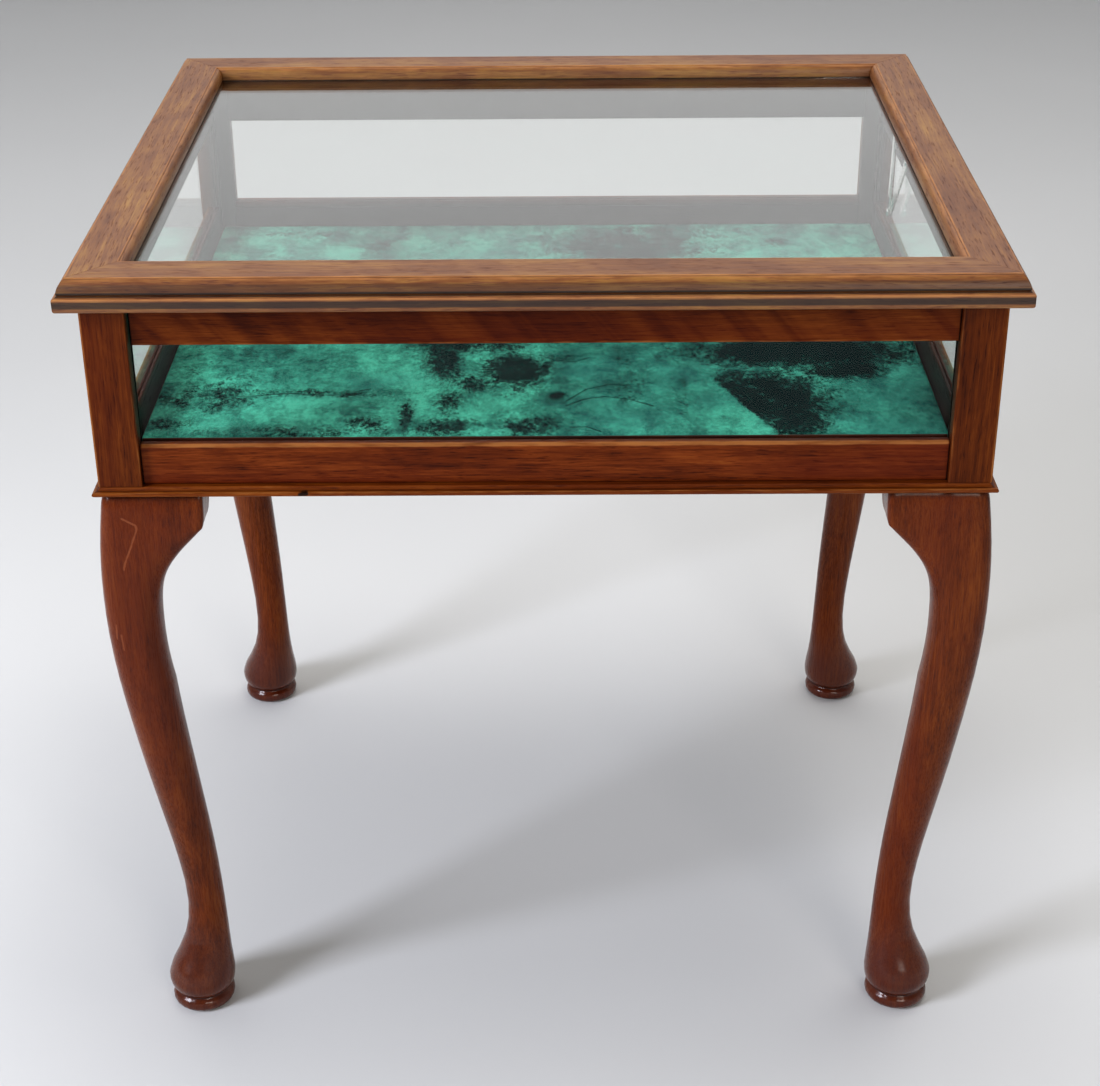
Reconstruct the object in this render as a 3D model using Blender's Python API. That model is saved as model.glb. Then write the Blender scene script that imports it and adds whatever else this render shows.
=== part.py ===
"""Glazed display table: a velvet-lined case on four cabriole legs, under a hinged glass lid.

Metres, +Z up. The origin is on the floor, under the middle of the table, and the front faces -Y.
Sections of frame members are drawn as (depth, height): depth runs inward from the outer face of
the corner posts, or of the lid, and the same section then runs along all four sides.
"""

import math

import bmesh
import bpy
from mathutils import Matrix, Vector

# Driving dimensions: outer sizes of the case and the lid
CASE_WIDTH = 0.5846
CASE_DEPTH = 0.490
LID_OVERHANG = 0.0127
TOTAL_HEIGHT = 0.597
LID_THICKNESS = 0.0212
LEG_HEIGHT = 0.4432
BASE_THICKNESS = 0.0055
FIT_GAP = 0.0003
LID_GAP = 0.0004

# Case joinery
POST_FACE = 0.0288
POST_THICKNESS = 0.0168
RAIL_SETBACK = 0.0048
TOP_RAIL_HEIGHT = 0.0281
BOTTOM_RAIL_HEIGHT = 0.0279
GLASS_THICKNESS = 0.003
GROOVE_FRONT = 0.0112
GROOVE_BACK = 0.0148
GROOVE_DEPTH = 0.0035
SILL_HEIGHT = 0.0227
BASE_PROJECTION = 0.0042
BASE_INNER = 0.032
BASE_LIP_RADIUS = 0.0014
BOARD_THICKNESS = 0.0037
VELVET_THICKNESS = 0.003
VELVET_MARGIN = 0.0018
RAIL_ARRIS = 0.0008
BEAD_ROUND = 0.001
PANE_EDGE = 0.0036
GROOVE_RISE = 0.004

# Lid joinery: depths run inward from the lid's outer face, drops run down from its top
LID_FLAT_START = 0.0076
LID_FLAT_END = 0.0364
LID_OPENING = 0.0412
LID_GLASS_THICKNESS = 0.004
LID_GLASS_DROP = 0.0094
LID_FILLET_DROP = 0.0009
LID_THUMB_START = 0.0026
LID_THUMB_WIDTH = 0.0049
LID_THUMB_DROP = 0.0085
LID_THUMB_SWELL = 0.6
LID_EDGE_DROP = 0.0120
LID_EDGE_ROUND = 0.0026
LID_OVOLO_START = 0.0372
LID_OVOLO_WIDTH = 0.0040
LID_OVOLO_FILLET = 0.0007
LID_BEAD_HEIGHT = 0.0062
LID_BEAD_CHAMFER = 0.0012

# Hinges
HINGE_SPACING = 0.370
LEAF_LENGTH = 0.050
LEAF_THICKNESS = 0.0012
BARREL_RADIUS = 0.0026
PIN_RADIUS = 0.0012
PIN_CLEARANCE = 0.0001
KNUCKLES = 5
CASE_LEAF_HEIGHT = 0.0115
LID_LEAF_WIDTH = 0.0092
SCREW_HEAD_RADIUS = 0.0023
SCREW_SHANK_RADIUS = 0.0012
SCREW_CLEARANCE = 0.00025
SCREW_LENGTH = 0.011
SCREW_HEAD_DEPTH = 0.0014
HINGE_SCREW_SPACING = 0.030
LEAF_SKIN = 0.00005
LEAF_DROP = 0.0058
LEAF_INSET = 0.0033

# Lid stay: two arms that fold down inside the right-hand rail
STAY_CASE_PIVOT = (0.066, 0.5614)
STAY_LID_PIVOT = (0.118, 0.5696)
STAY_KNUCKLE = (0.124, 0.502)
STAY_ARM_WIDTH = 0.0078
STAY_ARM_THICKNESS = 0.0014
STAY_PLANE_GAP = 0.0004
STAY_PIN_RADIUS = 0.0014
STAY_HEAD_RADIUS = 0.0031
STAY_HEAD_HEIGHT = 0.0012
STAY_RAIL_GAP = 0.0012
STAY_PLATE_HALF = 0.014
STAY_PLATE_THICKNESS = 0.0012
STAY_EAR_RADIUS = 0.0042
STAY_EAR_HALF = 0.006
STAY_PIN_BITE = 0.008

# Heights that follow from the driving dimensions
HALF_X = CASE_WIDTH / 2
HALF_Y = CASE_DEPTH / 2
LID_HALF_X = HALF_X + LID_OVERHANG
LID_HALF_Y = HALF_Y + LID_OVERHANG
BASE_BOTTOM = LEG_HEIGHT + FIT_GAP
BASE_TOP = BASE_BOTTOM + BASE_THICKNESS
CASE_BOTTOM = BASE_TOP + FIT_GAP
LID_BOTTOM = TOTAL_HEIGHT - LID_THICKNESS
CASE_TOP = LID_BOTTOM - LID_GAP
WINDOW_TOP = CASE_TOP - TOP_RAIL_HEIGHT
SILL = CASE_BOTTOM + SILL_HEIGHT
BOTTOM_RAIL_TOP = CASE_BOTTOM + BOTTOM_RAIL_HEIGHT
LID_GLASS_TOP = TOTAL_HEIGHT - LID_GLASS_DROP - FIT_GAP
LID_GLASS_BOTTOM = LID_GLASS_TOP - LID_GLASS_THICKNESS

HINGE_Y = HALF_Y + BARREL_RADIUS
HINGE_Z = LID_BOTTOM - FIT_GAP - BARREL_RADIUS

SIDES = ("front", "right", "back", "left")
CORNERS = {"front_left": (-1, -1), "front_right": (1, -1), "back_right": (1, 1), "back_left": (-1, 1)}


def clear_scene():
    for obj in list(bpy.data.objects):
        bpy.data.objects.remove(obj, do_unlink=True)


def material(name, colour, roughness, metallic=0.0, alpha=1.0):
    made = bpy.data.materials.new(name)
    made.use_nodes = True
    shader = made.node_tree.nodes["Principled BSDF"]
    shader.inputs["Base Color"].default_value = (*colour, 1.0)
    shader.inputs["Roughness"].default_value = roughness
    shader.inputs["Metallic"].default_value = metallic
    shader.inputs["Alpha"].default_value = alpha
    return made


def add_object(name, mesh_builder, finish):
    """Turns a bmesh into a named object, with its faces pointing out."""
    bmesh.ops.recalc_face_normals(mesh_builder, faces=mesh_builder.faces)
    mesh = bpy.data.meshes.new(name)
    mesh_builder.to_mesh(mesh)
    mesh_builder.free()
    mesh.materials.append(finish)
    obj = bpy.data.objects.new(name, mesh)
    bpy.context.scene.collection.objects.link(obj)
    return obj


def loft(rings):
    """A closed skin through rings of points that all have the same count."""
    builder = bmesh.new()
    loops = [[builder.verts.new(point) for point in ring] for ring in rings]
    count = len(loops[0])
    for low, high in zip(loops, loops[1:]):
        for i in range(count):
            j = (i + 1) % count
            builder.faces.new((low[i], low[j], high[j], high[i]))
    builder.faces.new(loops[0])
    builder.faces.new(loops[-1])
    return builder


def arc(centre, radius, start, end, steps):
    """Points on an arc, angles in degrees, both ends included."""
    points = []
    for i in range(steps + 1):
        angle = math.radians(start + (end - start) * i / steps)
        points.append((centre[0] + radius * math.cos(angle), centre[1] + radius * math.sin(angle)))
    return points


def place(side, along, depth, height, half_x, half_y):
    """A point given along one side of a rectangle and inward from it, in world axes."""
    half = half_y if side in ("front", "back") else half_x
    point = {
        "front": (along, -(half - depth)),
        "right": (half - depth, along),
        "back": (-along, half - depth),
        "left": (-(half - depth), -along),
    }[side]
    return (point[0], point[1], height)


def mitred_member(name, side, section, half_x, half_y, finish):
    """A frame length whose ends are cut at 45 degrees."""
    span = half_x if side in ("front", "back") else half_y
    rings = []
    for sign in (-1, 1):
        ring = []
        for depth, height in section:
            along = sign * (span - depth - FIT_GAP / 2)
            ring.append(place(side, along, depth, height, half_x, half_y))
        rings.append(ring)
    return round_shading(add_object(name, loft(rings), finish))


def butted_member(name, side, section, reach, finish):
    """A rail, bead or pane that ends square, reach being how far it stops from the case's corner."""
    span = HALF_X if side in ("front", "back") else HALF_Y
    rings = []
    for along in (reach - span, span - reach):
        rings.append([place(side, along, depth, height, HALF_X, HALF_Y) for depth, height in section])
    return round_shading(add_object(name, loft(rings), finish))


def box_section(depth_low, depth_high, low, high):
    return [(depth_low, low), (depth_high, low), (depth_high, high), (depth_low, high)]


def soften(obj, width, segments=1, angle=35.0):
    bevel = obj.modifiers.new("arris", "BEVEL")
    bevel.width = width
    bevel.segments = segments
    bevel.limit_method = "ANGLE"
    bevel.angle_limit = math.radians(angle)
    return obj


def round_shading(obj, angle=35.0):
    obj.data.shade_smooth()
    obj.data.set_sharp_from_angle(angle=math.radians(angle))
    return obj


def helper(name, mesh_builder, finish):
    """A solid that only cuts or joins another, so it is never rendered."""
    obj = add_object(name, mesh_builder, finish)
    obj.hide_render = True
    obj.display_type = "WIRE"
    return obj


def boolean(obj, other, operation):
    modifier = obj.modifiers.new(operation.lower(), "BOOLEAN")
    modifier.operation = operation
    modifier.solver = "EXACT"
    modifier.object = other
    return modifier


def circle_ring(centre, normal, radius, sides=16):
    """A ring of points round a centre, in the plane that the normal gives."""
    turn = Vector((0, 0, 1)).rotation_difference(Vector(normal)).to_matrix()
    ring = []
    for i in range(sides):
        angle = 2 * math.pi * i / sides
        ring.append(Vector(centre) + turn @ Vector((radius * math.cos(angle), radius * math.sin(angle), 0)))
    return ring


def turned(start, normal, steps, sides=16):
    """A round solid on an axis: steps are (distance along the axis, radius)."""
    origin, direction = Vector(start), Vector(normal)
    return loft([circle_ring(origin + direction * far, normal, radius, sides) for far, radius in steps])


def joined(builders):
    """Several bmesh solids in one mesh."""
    whole = bmesh.new()
    for builder in builders:
        part = bpy.data.meshes.new("part")
        builder.to_mesh(part)
        builder.free()
        whole.from_mesh(part)
        bpy.data.meshes.remove(part)
    return whole


def box(low, high):
    corners = [(low[0], low[1]), (high[0], low[1]), (high[0], high[1]), (low[0], high[1])]
    return loft([[(x, y, z) for x, y in corners] for z in (low[2], high[2])])


# Lid -----------------------------------------------------------------------------------------


def lid_section():
    """Flat top, a thumb moulding outside and a small ovolo down to the glass inside."""
    top = TOTAL_HEIGHT
    quarter = [math.radians(step * 15) for step in range(7)]
    outer_thumb = []
    for a in quarter[1:]:
        # The rise lies between the straight chord (a swell of 0) and a quarter ellipse (a swell of 1)
        rise = (1 - LID_THUMB_SWELL) * (1 - math.cos(a)) + LID_THUMB_SWELL * math.sin(a)
        depth = LID_THUMB_START + LID_THUMB_WIDTH * (1 - math.cos(a))
        outer_thumb.append((depth, top - LID_FILLET_DROP - LID_THUMB_DROP * (1 - rise)))
    inner_thumb = []
    for a in quarter:
        fall = (LID_GLASS_DROP - LID_OVOLO_FILLET - 2 * FIT_GAP) * (1 - math.cos(a))
        inner_thumb.append((LID_OVOLO_START + LID_OVOLO_WIDTH * math.sin(a), top - LID_OVOLO_FILLET - fall))
    rebate = LID_FLAT_END + FIT_GAP
    edge = (LID_EDGE_ROUND, LID_BOTTOM + LID_EDGE_ROUND)
    section = [(0.0, top - LID_EDGE_DROP)]
    section += arc(edge, LID_EDGE_ROUND, 180, 270, 3)
    section += [(rebate, LID_BOTTOM), (rebate, LID_GLASS_TOP + FIT_GAP)]
    section += [(LID_OPENING, LID_GLASS_TOP + FIT_GAP)]
    section += list(reversed(inner_thumb))
    section += [(LID_FLAT_END + 0.0004, top - LID_OVOLO_FILLET), (LID_FLAT_END, top), (LID_FLAT_START, top)]
    section += list(reversed(outer_thumb))
    section += [(LID_THUMB_START, top - LID_EDGE_DROP + 0.0015), (0.0004, top - LID_EDGE_DROP + 0.0004)]
    return section


def build_lid(wood, glass):
    section = lid_section()
    for side in SIDES:
        mitred_member("lid_rail_" + side, side, section, LID_HALF_X, LID_HALF_Y, wood)
    edge = LID_FLAT_END + 2 * FIT_GAP
    low = (-(LID_HALF_X - edge), -(LID_HALF_Y - edge), LID_GLASS_BOTTOM)
    high = (LID_HALF_X - edge, LID_HALF_Y - edge, LID_GLASS_TOP)
    soften(add_object("lid_glass", box(low, high), glass), 0.0004)
    bead_top = LID_GLASS_BOTTOM - FIT_GAP
    bead_foot = bead_top - LID_BEAD_HEIGHT
    bead = [(edge, bead_top), (LID_OPENING, bead_top), (LID_OPENING, bead_foot + 0.0027)]
    bead += [(LID_OPENING - LID_BEAD_CHAMFER, bead_foot + 0.0006), (edge, bead_foot)]
    for side in SIDES:
        mitred_member("lid_glass_bead_" + side, side, bead, LID_HALF_X, LID_HALF_Y, wood)


# Case ----------------------------------------------------------------------------------------


def build_posts(wood):
    """L-shaped corner posts: the rebate inside the corner leaves the case a clean rectangle."""
    face, thick = POST_FACE, POST_THICKNESS
    near, far = GROOVE_FRONT, GROOVE_BACK
    floor = face - GROOVE_DEPTH
    arris = RAIL_ARRIS
    outline = [(arris, 0), (face - arris / 2, 0), (face, arris / 2), (face, near), (floor, near)]
    outline += [(floor, far), (face, far), (face, thick), (thick, thick)]
    outline += [(thick, face), (far, face), (far, floor), (near, floor), (near, face)]
    outline += [(arris / 2, face), (0, face - arris / 2), (0, arris)]
    for corner, (sign_x, sign_y) in CORNERS.items():
        rings = []
        for z in (CASE_BOTTOM, CASE_TOP):
            rings.append([(sign_x * (HALF_X - a), sign_y * (HALF_Y - b), z) for a, b in outline])
        add_object("post_" + corner, loft(rings), wood)


def build_rails(wood):
    stop = POST_FACE + FIT_GAP
    arris = RAIL_ARRIS
    round_over = 0.0015
    for side in SIDES:
        # The back rail stands flush with the posts, so that the hinge barrels clear them.
        outer = FIT_GAP if side == "back" else RAIL_SETBACK
        groove_top = WINDOW_TOP + GROOVE_RISE
        top = [(outer, CASE_TOP), (outer, WINDOW_TOP + arris), (outer + arris, WINDOW_TOP)]
        top += [(GROOVE_FRONT, WINDOW_TOP), (GROOVE_FRONT, groove_top), (GROOVE_BACK, groove_top)]
        top += [(GROOVE_BACK, WINDOW_TOP), (POST_THICKNESS, WINDOW_TOP), (POST_THICKNESS, CASE_TOP)]
        butted_member("top_rail_" + side, side, top, stop, wood)
        bottom = [(RAIL_SETBACK, CASE_BOTTOM), (POST_THICKNESS, CASE_BOTTOM), (POST_THICKNESS, SILL)]
        bottom += [(GROOVE_FRONT, SILL), (GROOVE_FRONT, BOTTOM_RAIL_TOP - 0.0003)]
        bottom += [(GROOVE_FRONT - 0.0004, BOTTOM_RAIL_TOP)]
        bottom += arc((RAIL_SETBACK + round_over, BOTTOM_RAIL_TOP - round_over), round_over, 90, 180, 3)
        butted_member("bottom_rail_" + side, side, bottom, stop, wood)


def build_panes(wood, glass):
    slack = (GROOVE_BACK - GROOVE_FRONT - GLASS_THICKNESS) / 2
    front = GROOVE_FRONT + slack
    pane = box_section(front, front + GLASS_THICKNESS, SILL + FIT_GAP, WINDOW_TOP + PANE_EDGE)
    bead = [(GROOVE_BACK, SILL + FIT_GAP), (POST_THICKNESS, SILL + FIT_GAP)]
    bead += arc((POST_THICKNESS - BEAD_ROUND, BOTTOM_RAIL_TOP - 0.0008), BEAD_ROUND, 0, 180, 4)
    for side in SIDES:
        reach = POST_FACE - GROOVE_DEPTH + FIT_GAP
        butted_member("pane_" + side, side, pane, reach, glass)
        butted_member("pane_bead_" + side, side, bead, POST_FACE + FIT_GAP, wood)


def build_floor(wood, board, velvet):
    """The moulded base frame, the floor board on it and the velvet-covered pad on that."""
    lip = BASE_LIP_RADIUS
    base = [(BASE_INNER, BASE_BOTTOM)]
    base += list(reversed(arc((lip - BASE_PROJECTION, BASE_BOTTOM + lip), lip, 90, 270, 6)))
    base += [(0.0012 - BASE_PROJECTION, BASE_BOTTOM + 0.0030)]
    base += [(-0.0012, BASE_BOTTOM + 0.0040), (0.0010, BASE_TOP), (BASE_INNER, BASE_TOP)]
    for side in SIDES:
        mitred_member("base_moulding_" + side, side, base, HALF_X, HALF_Y, wood)
    inset = POST_THICKNESS + FIT_GAP
    low = (inset - HALF_X, inset - HALF_Y, CASE_BOTTOM)
    high = (HALF_X - inset, HALF_Y - inset, CASE_BOTTOM + BOARD_THICKNESS)
    add_object("floor_board", box(low, high), board)
    inset = POST_THICKNESS + VELVET_MARGIN
    pad_bottom = CASE_BOTTOM + BOARD_THICKNESS + FIT_GAP
    low = (inset - HALF_X, inset - HALF_Y, pad_bottom)
    high = (HALF_X - inset, HALF_Y - inset, pad_bottom + VELVET_THICKNESS)
    soften(add_object("velvet_pad", box(low, high), velvet), 0.0012, 2)


# Legs ----------------------------------------------------------------------------------------

# Height, depth of the outer side, depth of the inner side, and squareness of the section (2 is
# round). Depths run inward from the faces of the case, the same in X and in Y.
LEG_STATIONS = (
    (0.4432, 0.0010, 0.0361, 5.0),
    (0.4360, -0.0012, 0.0356, 5.0),
    (0.4180, -0.0035, 0.0346, 4.6),
    (0.3930, -0.0058, 0.0334, 4.0),
    (0.3650, -0.0068, 0.0325, 3.4),
    (0.3350, -0.0064, 0.0322, 3.0),
    (0.3000, -0.0042, 0.0334, 2.6),
    (0.2600, 0.0000, 0.0362, 2.3),
    (0.2200, 0.0050, 0.0397, 2.1),
    (0.1800, 0.0108, 0.0431, 2.0),
    (0.1400, 0.0168, 0.0462, 2.0),
    (0.1050, 0.0209, 0.0481, 2.0),
    (0.0850, 0.0216, 0.0490, 2.0),
    (0.0690, 0.0203, 0.0496, 2.0),
    (0.0560, 0.0172, 0.0503, 2.0),
    (0.0440, 0.0120, 0.0512, 2.0),
    (0.0330, 0.0062, 0.0524, 2.0),
    (0.0240, 0.0032, 0.0531, 2.0),
    (0.0170, 0.0042, 0.0521, 2.0),
    (0.0134, 0.0066, 0.0497, 2.0),
)
FOOT_CENTRE = 0.02815
# The turned disc under the pad: height and radius
DISC_STEPS = ((0.0122, 0.0196), (0.0108, 0.0200), (0.0098, 0.0216), (0.0080, 0.0229),
              (0.0055, 0.0234), (0.0030, 0.0230), (0.0012, 0.0218), (0.0, 0.0198))
LEG_SIDES = 24
# An ear, the wing that runs from the leg along a rail: height and how far the wing reaches
EAR_STATIONS = (
    (0.4432, 0.0670),
    (0.4280, 0.0668),
    (0.4190, 0.0656),
    (0.4120, 0.0612),
    (0.3980, 0.0498),
    (0.3850, 0.0396),
    (0.3750, 0.0350),
    (0.3650, 0.0322),
    (0.3500, 0.0280),
)
EAR_THICKNESS = 0.030
EAR_SETBACK = 0.0007
EAR_ROOT = 0.018
EAR_LEVELS = 22


def between(stations, height):
    """Smooth value between stations, by a Catmull-Rom curve through them."""
    rows = list(reversed(stations))
    for i in range(len(rows) - 1):
        if height <= rows[i + 1][0] or i == len(rows) - 2:
            break
    before, low, high, after = rows[max(i - 1, 0)], rows[i], rows[i + 1], rows[min(i + 2, len(rows) - 1)]
    span = high[0] - low[0]
    t = (height - low[0]) / span
    values = []
    for k in range(1, len(low)):
        slope_low = (high[k] - before[k]) / (high[0] - before[0]) * span
        slope_high = (after[k] - low[k]) / (after[0] - low[0]) * span
        cube, square = t ** 3, t ** 2
        value = (2 * cube - 3 * square + 1) * low[k] + (cube - 2 * square + t) * slope_low
        value += (3 * square - 2 * cube) * high[k] + (cube - square) * slope_high
        values.append(value)
    return values


def leg_ring(height, outer, inner, squareness):
    """One horizontal section, in depths from the two faces of the case."""
    centre, half = (outer + inner) / 2, (inner - outer) / 2
    ring = []
    for i in range(LEG_SIDES):
        angle = 2 * math.pi * (i + 0.5) / LEG_SIDES
        c, s = math.cos(angle), math.sin(angle)
        a = math.copysign(abs(c) ** (2 / squareness), c)
        b = math.copysign(abs(s) ** (2 / squareness), s)
        ring.append((centre + half * a, centre + half * b, height))
    return ring


def leg_rings():
    rings = []
    for (high, *_), (low, *_) in zip(LEG_STATIONS, LEG_STATIONS[1:]):
        steps = 2 if high - low > 0.02 else 1
        for step in range(steps):
            height = high + (low - high) * step / steps
            rings.append(leg_ring(height, *between(LEG_STATIONS, height)))
    rings.append(leg_ring(*LEG_STATIONS[-1]))
    for height, radius in DISC_STEPS:
        rings.append(leg_ring(height, FOOT_CENTRE - radius, FOOT_CENTRE + radius, 2.0))
    return rings


def ear_rings():
    """Level slices of an ear: (reach along the rail, depth behind it, height)."""
    high, low = EAR_STATIONS[0][0], EAR_STATIONS[-1][0]
    arris = 0.0016
    rings = []
    for step in range(EAR_LEVELS + 1):
        height = high + (low - high) * step / EAR_LEVELS
        reach = between(EAR_STATIONS, height)[0]
        near = between(LEG_STATIONS, height)[0] + EAR_SETBACK
        far = near + EAR_THICKNESS
        ring = [(EAR_ROOT, near), (reach - arris, near), (reach - arris * 0.3, near + arris * 0.3)]
        ring += [(reach, near + arris), (reach, far), (EAR_ROOT, far)]
        rings.append([(a, b, height) for a, b in ring])
    return rings


def build_legs(wood):
    """A carved leg with an ear along each rail, joined into one solid at every corner."""
    rings = leg_rings()
    ears = ear_rings()
    for corner, (sign_x, sign_y) in CORNERS.items():
        def world(a, b, z):
            return (sign_x * (HALF_X - a), sign_y * (HALF_Y - b), z)

        leg = add_object("leg_" + corner, loft([[world(*point) for point in ring] for ring in rings]), wood)
        along_x = loft([[world(a, b, z) for a, b, z in ring] for ring in ears])
        along_y = loft([[world(b, a, z) for a, b, z in ring] for ring in ears])
        for run, wing in (("x", along_x), ("y", along_y)):
            boolean(leg, helper("ear_" + run + "_" + corner, wing, wood), "UNION")
        round_shading(leg, 40.0)


# Hinges --------------------------------------------------------------------------------------


def screw_axis_points(kind, centre_x):
    """Where the screws of one leaf stand, and which way they drive."""
    half = HINGE_SCREW_SPACING / 2
    if kind == "case":
        y = HALF_Y + LEAF_THICKNESS + LEAF_SKIN
        z = HINGE_Z - BARREL_RADIUS - FIT_GAP - LEAF_DROP
        return [((centre_x + sign * half, y, z), (0, -1, 0)) for sign in (-1, 1)]
    y = HINGE_Y + BARREL_RADIUS + FIT_GAP + LEAF_INSET
    z = LID_BOTTOM - FIT_GAP - LEAF_SKIN - LEAF_THICKNESS
    return [((centre_x + sign * half, y, z), (0, 0, 1)) for sign in (-1, 1)]


def screw_steps():
    """A countersunk screw: (distance along it, radius)."""
    head, shank = SCREW_HEAD_RADIUS, SCREW_SHANK_RADIUS
    steps = [(-0.0004, head * 0.7), (-0.0001, head), (SCREW_HEAD_DEPTH - FIT_GAP, shank)]
    return steps + [(SCREW_LENGTH - 0.002, shank), (SCREW_LENGTH, FIT_GAP)]


def bore_steps():
    """The hole that a screw stands in, a little wider all over."""
    head, shank = SCREW_HEAD_RADIUS + SCREW_CLEARANCE, SCREW_SHANK_RADIUS + SCREW_CLEARANCE
    return [(-0.002, head), (0.0, head), (SCREW_HEAD_DEPTH, shank), (SCREW_LENGTH + 0.0006, shank)]


def knuckle_segments():
    pitch = LEAF_LENGTH / KNUCKLES
    for i in range(KNUCKLES):
        low = -LEAF_LENGTH / 2 + i * pitch + FIT_GAP / 2
        yield i, low, low + pitch - FIT_GAP


def leaf_parts(kind, centre_x):
    """The plate, tabs and barrel lengths of one leaf, overlapping so that they join into one."""
    plates, barrels = [], []
    left, right = centre_x - LEAF_LENGTH / 2, centre_x + LEAF_LENGTH / 2
    tab_root = 0.001
    if kind == "case":
        y_low, y_high = HALF_Y + LEAF_SKIN, HALF_Y + LEAF_SKIN + LEAF_THICKNESS
        edge = HINGE_Z - BARREL_RADIUS - FIT_GAP
        plates.append(((left, y_low, edge - CASE_LEAF_HEIGHT), (right, y_high, edge)))
    else:
        z_high = LID_BOTTOM - FIT_GAP - LEAF_SKIN
        z_low = z_high - LEAF_THICKNESS
        edge = HINGE_Y + BARREL_RADIUS + FIT_GAP
        plates.append(((left, edge, z_low), (right, HINGE_Y + LID_LEAF_WIDTH, z_high)))
    for i, low, high in knuckle_segments():
        if (i % 2 == 0) != (kind == "case"):
            continue
        x_low, x_high = centre_x + low, centre_x + high
        if kind == "case":
            plates.append(((x_low, y_low, edge - tab_root), (x_high, y_high, HINGE_Z)))
        else:
            plates.append(((x_low, HINGE_Y, z_low), (x_high, edge + tab_root, z_high)))
        barrels.append((x_low, x_high))
    return plates, barrels


def barrel(x_low, x_high):
    """A tube length on the hinge axis, with the pin's bore through it."""
    sides = 16
    bore = PIN_RADIUS + PIN_CLEARANCE
    builder = bmesh.new()
    loops = []
    for x, radius in ((x_low, BARREL_RADIUS), (x_high, BARREL_RADIUS), (x_high, bore), (x_low, bore)):
        ring = arc((HINGE_Y, HINGE_Z), radius, 0, 360 - 360 / sides, sides - 1)
        loops.append([builder.verts.new((x, y, z)) for y, z in ring])
    for low, high in zip(loops, loops[1:] + loops[:1]):
        for i in range(sides):
            j = (i + 1) % sides
            builder.faces.new((low[i], low[j], high[j], high[i]))
    return builder


def build_hinges(brass, steel):
    """Two butt hinges: one leaf on the back of the top rail, the other under the lid's overhang."""
    drilled = {"case": [], "lid": []}
    for hand, centre_x in (("left", -HINGE_SPACING / 2), ("right", HINGE_SPACING / 2)):
        for kind in ("case", "lid"):
            plates, barrels = leaf_parts(kind, centre_x)
            leaf = add_object("hinge_%s_leaf_%s" % (kind, hand), box(*plates[0]), brass)
            for n, plate in enumerate(plates[1:]):
                boolean(leaf, helper("tab_%s_%s_%d" % (kind, hand, n), box(*plate), brass), "UNION")
            for n, (x_low, x_high) in enumerate(barrels):
                tube = helper("tube_%s_%s_%d" % (kind, hand, n), barrel(x_low, x_high), brass)
                boolean(leaf, tube, "UNION")
            bores = []
            for n, (point, way) in enumerate(screw_axis_points(kind, centre_x)):
                name = "hinge_%s_screw_%s_%s" % (kind, hand, ("a", "b")[n])
                round_shading(add_object(name, turned(point, way, screw_steps(), 12), steel))
                bores.append(turned(point, way, bore_steps(), 12))
                drilled[kind].append(turned(point, way, bore_steps(), 12))
            boolean(leaf, helper("bores_%s_%s" % (kind, hand), joined(bores), steel), "DIFFERENCE")
            round_shading(leaf, 40.0)
        reach = LEAF_LENGTH / 2 + 0.0008
        steps = [(0.0, PIN_RADIUS), (2 * reach, PIN_RADIUS)]
        pin = turned((centre_x - reach, HINGE_Y, HINGE_Z), (1, 0, 0), steps)
        round_shading(add_object("hinge_pin_" + hand, pin, brass))
    for kind, target in (("case", "top_rail_back"), ("lid", "lid_rail_back")):
        cutter = helper("pilot_holes_" + kind, joined(drilled[kind]), steel)
        boolean(bpy.data.objects[target], cutter, "DIFFERENCE")


# Lid stay ------------------------------------------------------------------------------------

RAIL_INNER_X = HALF_X - POST_THICKNESS
CASE_ARM_X = RAIL_INNER_X - STAY_RAIL_GAP - STAY_ARM_THICKNESS
LID_ARM_X = CASE_ARM_X - STAY_PLANE_GAP - STAY_ARM_THICKNESS


def stadium(start, end, width, steps=8):
    """Outline of a flat bar with round ends, in the (Y, Z) plane."""
    angle = math.degrees(math.atan2(end[1] - start[1], end[0] - start[0]))
    far_end = arc(end, width / 2, angle - 90, angle + 90, steps)
    return far_end + arc(start, width / 2, angle + 90, angle + 270, steps)


def pivot_hole(x_low, pivot):
    """A cutter for the hole that a stay's pivot turns in."""
    radius, margin = STAY_PIN_RADIUS + PIN_CLEARANCE, 0.001
    steps = [(-margin, radius), (STAY_ARM_THICKNESS + margin, radius)]
    return turned((x_low, *pivot), (1, 0, 0), steps)


def plate_in_x(outline, x_low, x_high):
    return loft([[(x, y, z) for y, z in outline] for x in (x_low, x_high)])


def stay_arm(name, start, end, x_low, finish):
    outline = stadium(start, end, STAY_ARM_WIDTH)
    arm = add_object(name, plate_in_x(outline, x_low, x_low + STAY_ARM_THICKNESS), finish)
    holes = joined([pivot_hole(x_low, start), pivot_hole(x_low, end)])
    boolean(arm, helper(name + "_holes", holes, finish), "DIFFERENCE")
    round_shading(arm)


def stay_pin(name, pivot, arm_x, x_end, finish):
    """A domed head on the inner side of the arm at arm_x, and a shank outward to x_end."""
    head, radius = STAY_HEAD_HEIGHT, STAY_HEAD_RADIUS
    x_head = arm_x - head - PIN_CLEARANCE
    steps = [(0.0, radius * 0.45), (head * 0.35, radius * 0.82), (head * 0.8, radius), (head, radius)]
    steps += [(head + 0.00001, STAY_PIN_RADIUS), (x_end - x_head, STAY_PIN_RADIUS)]
    return round_shading(add_object(name, turned((x_head, *pivot), (1, 0, 0), steps), finish))


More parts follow.
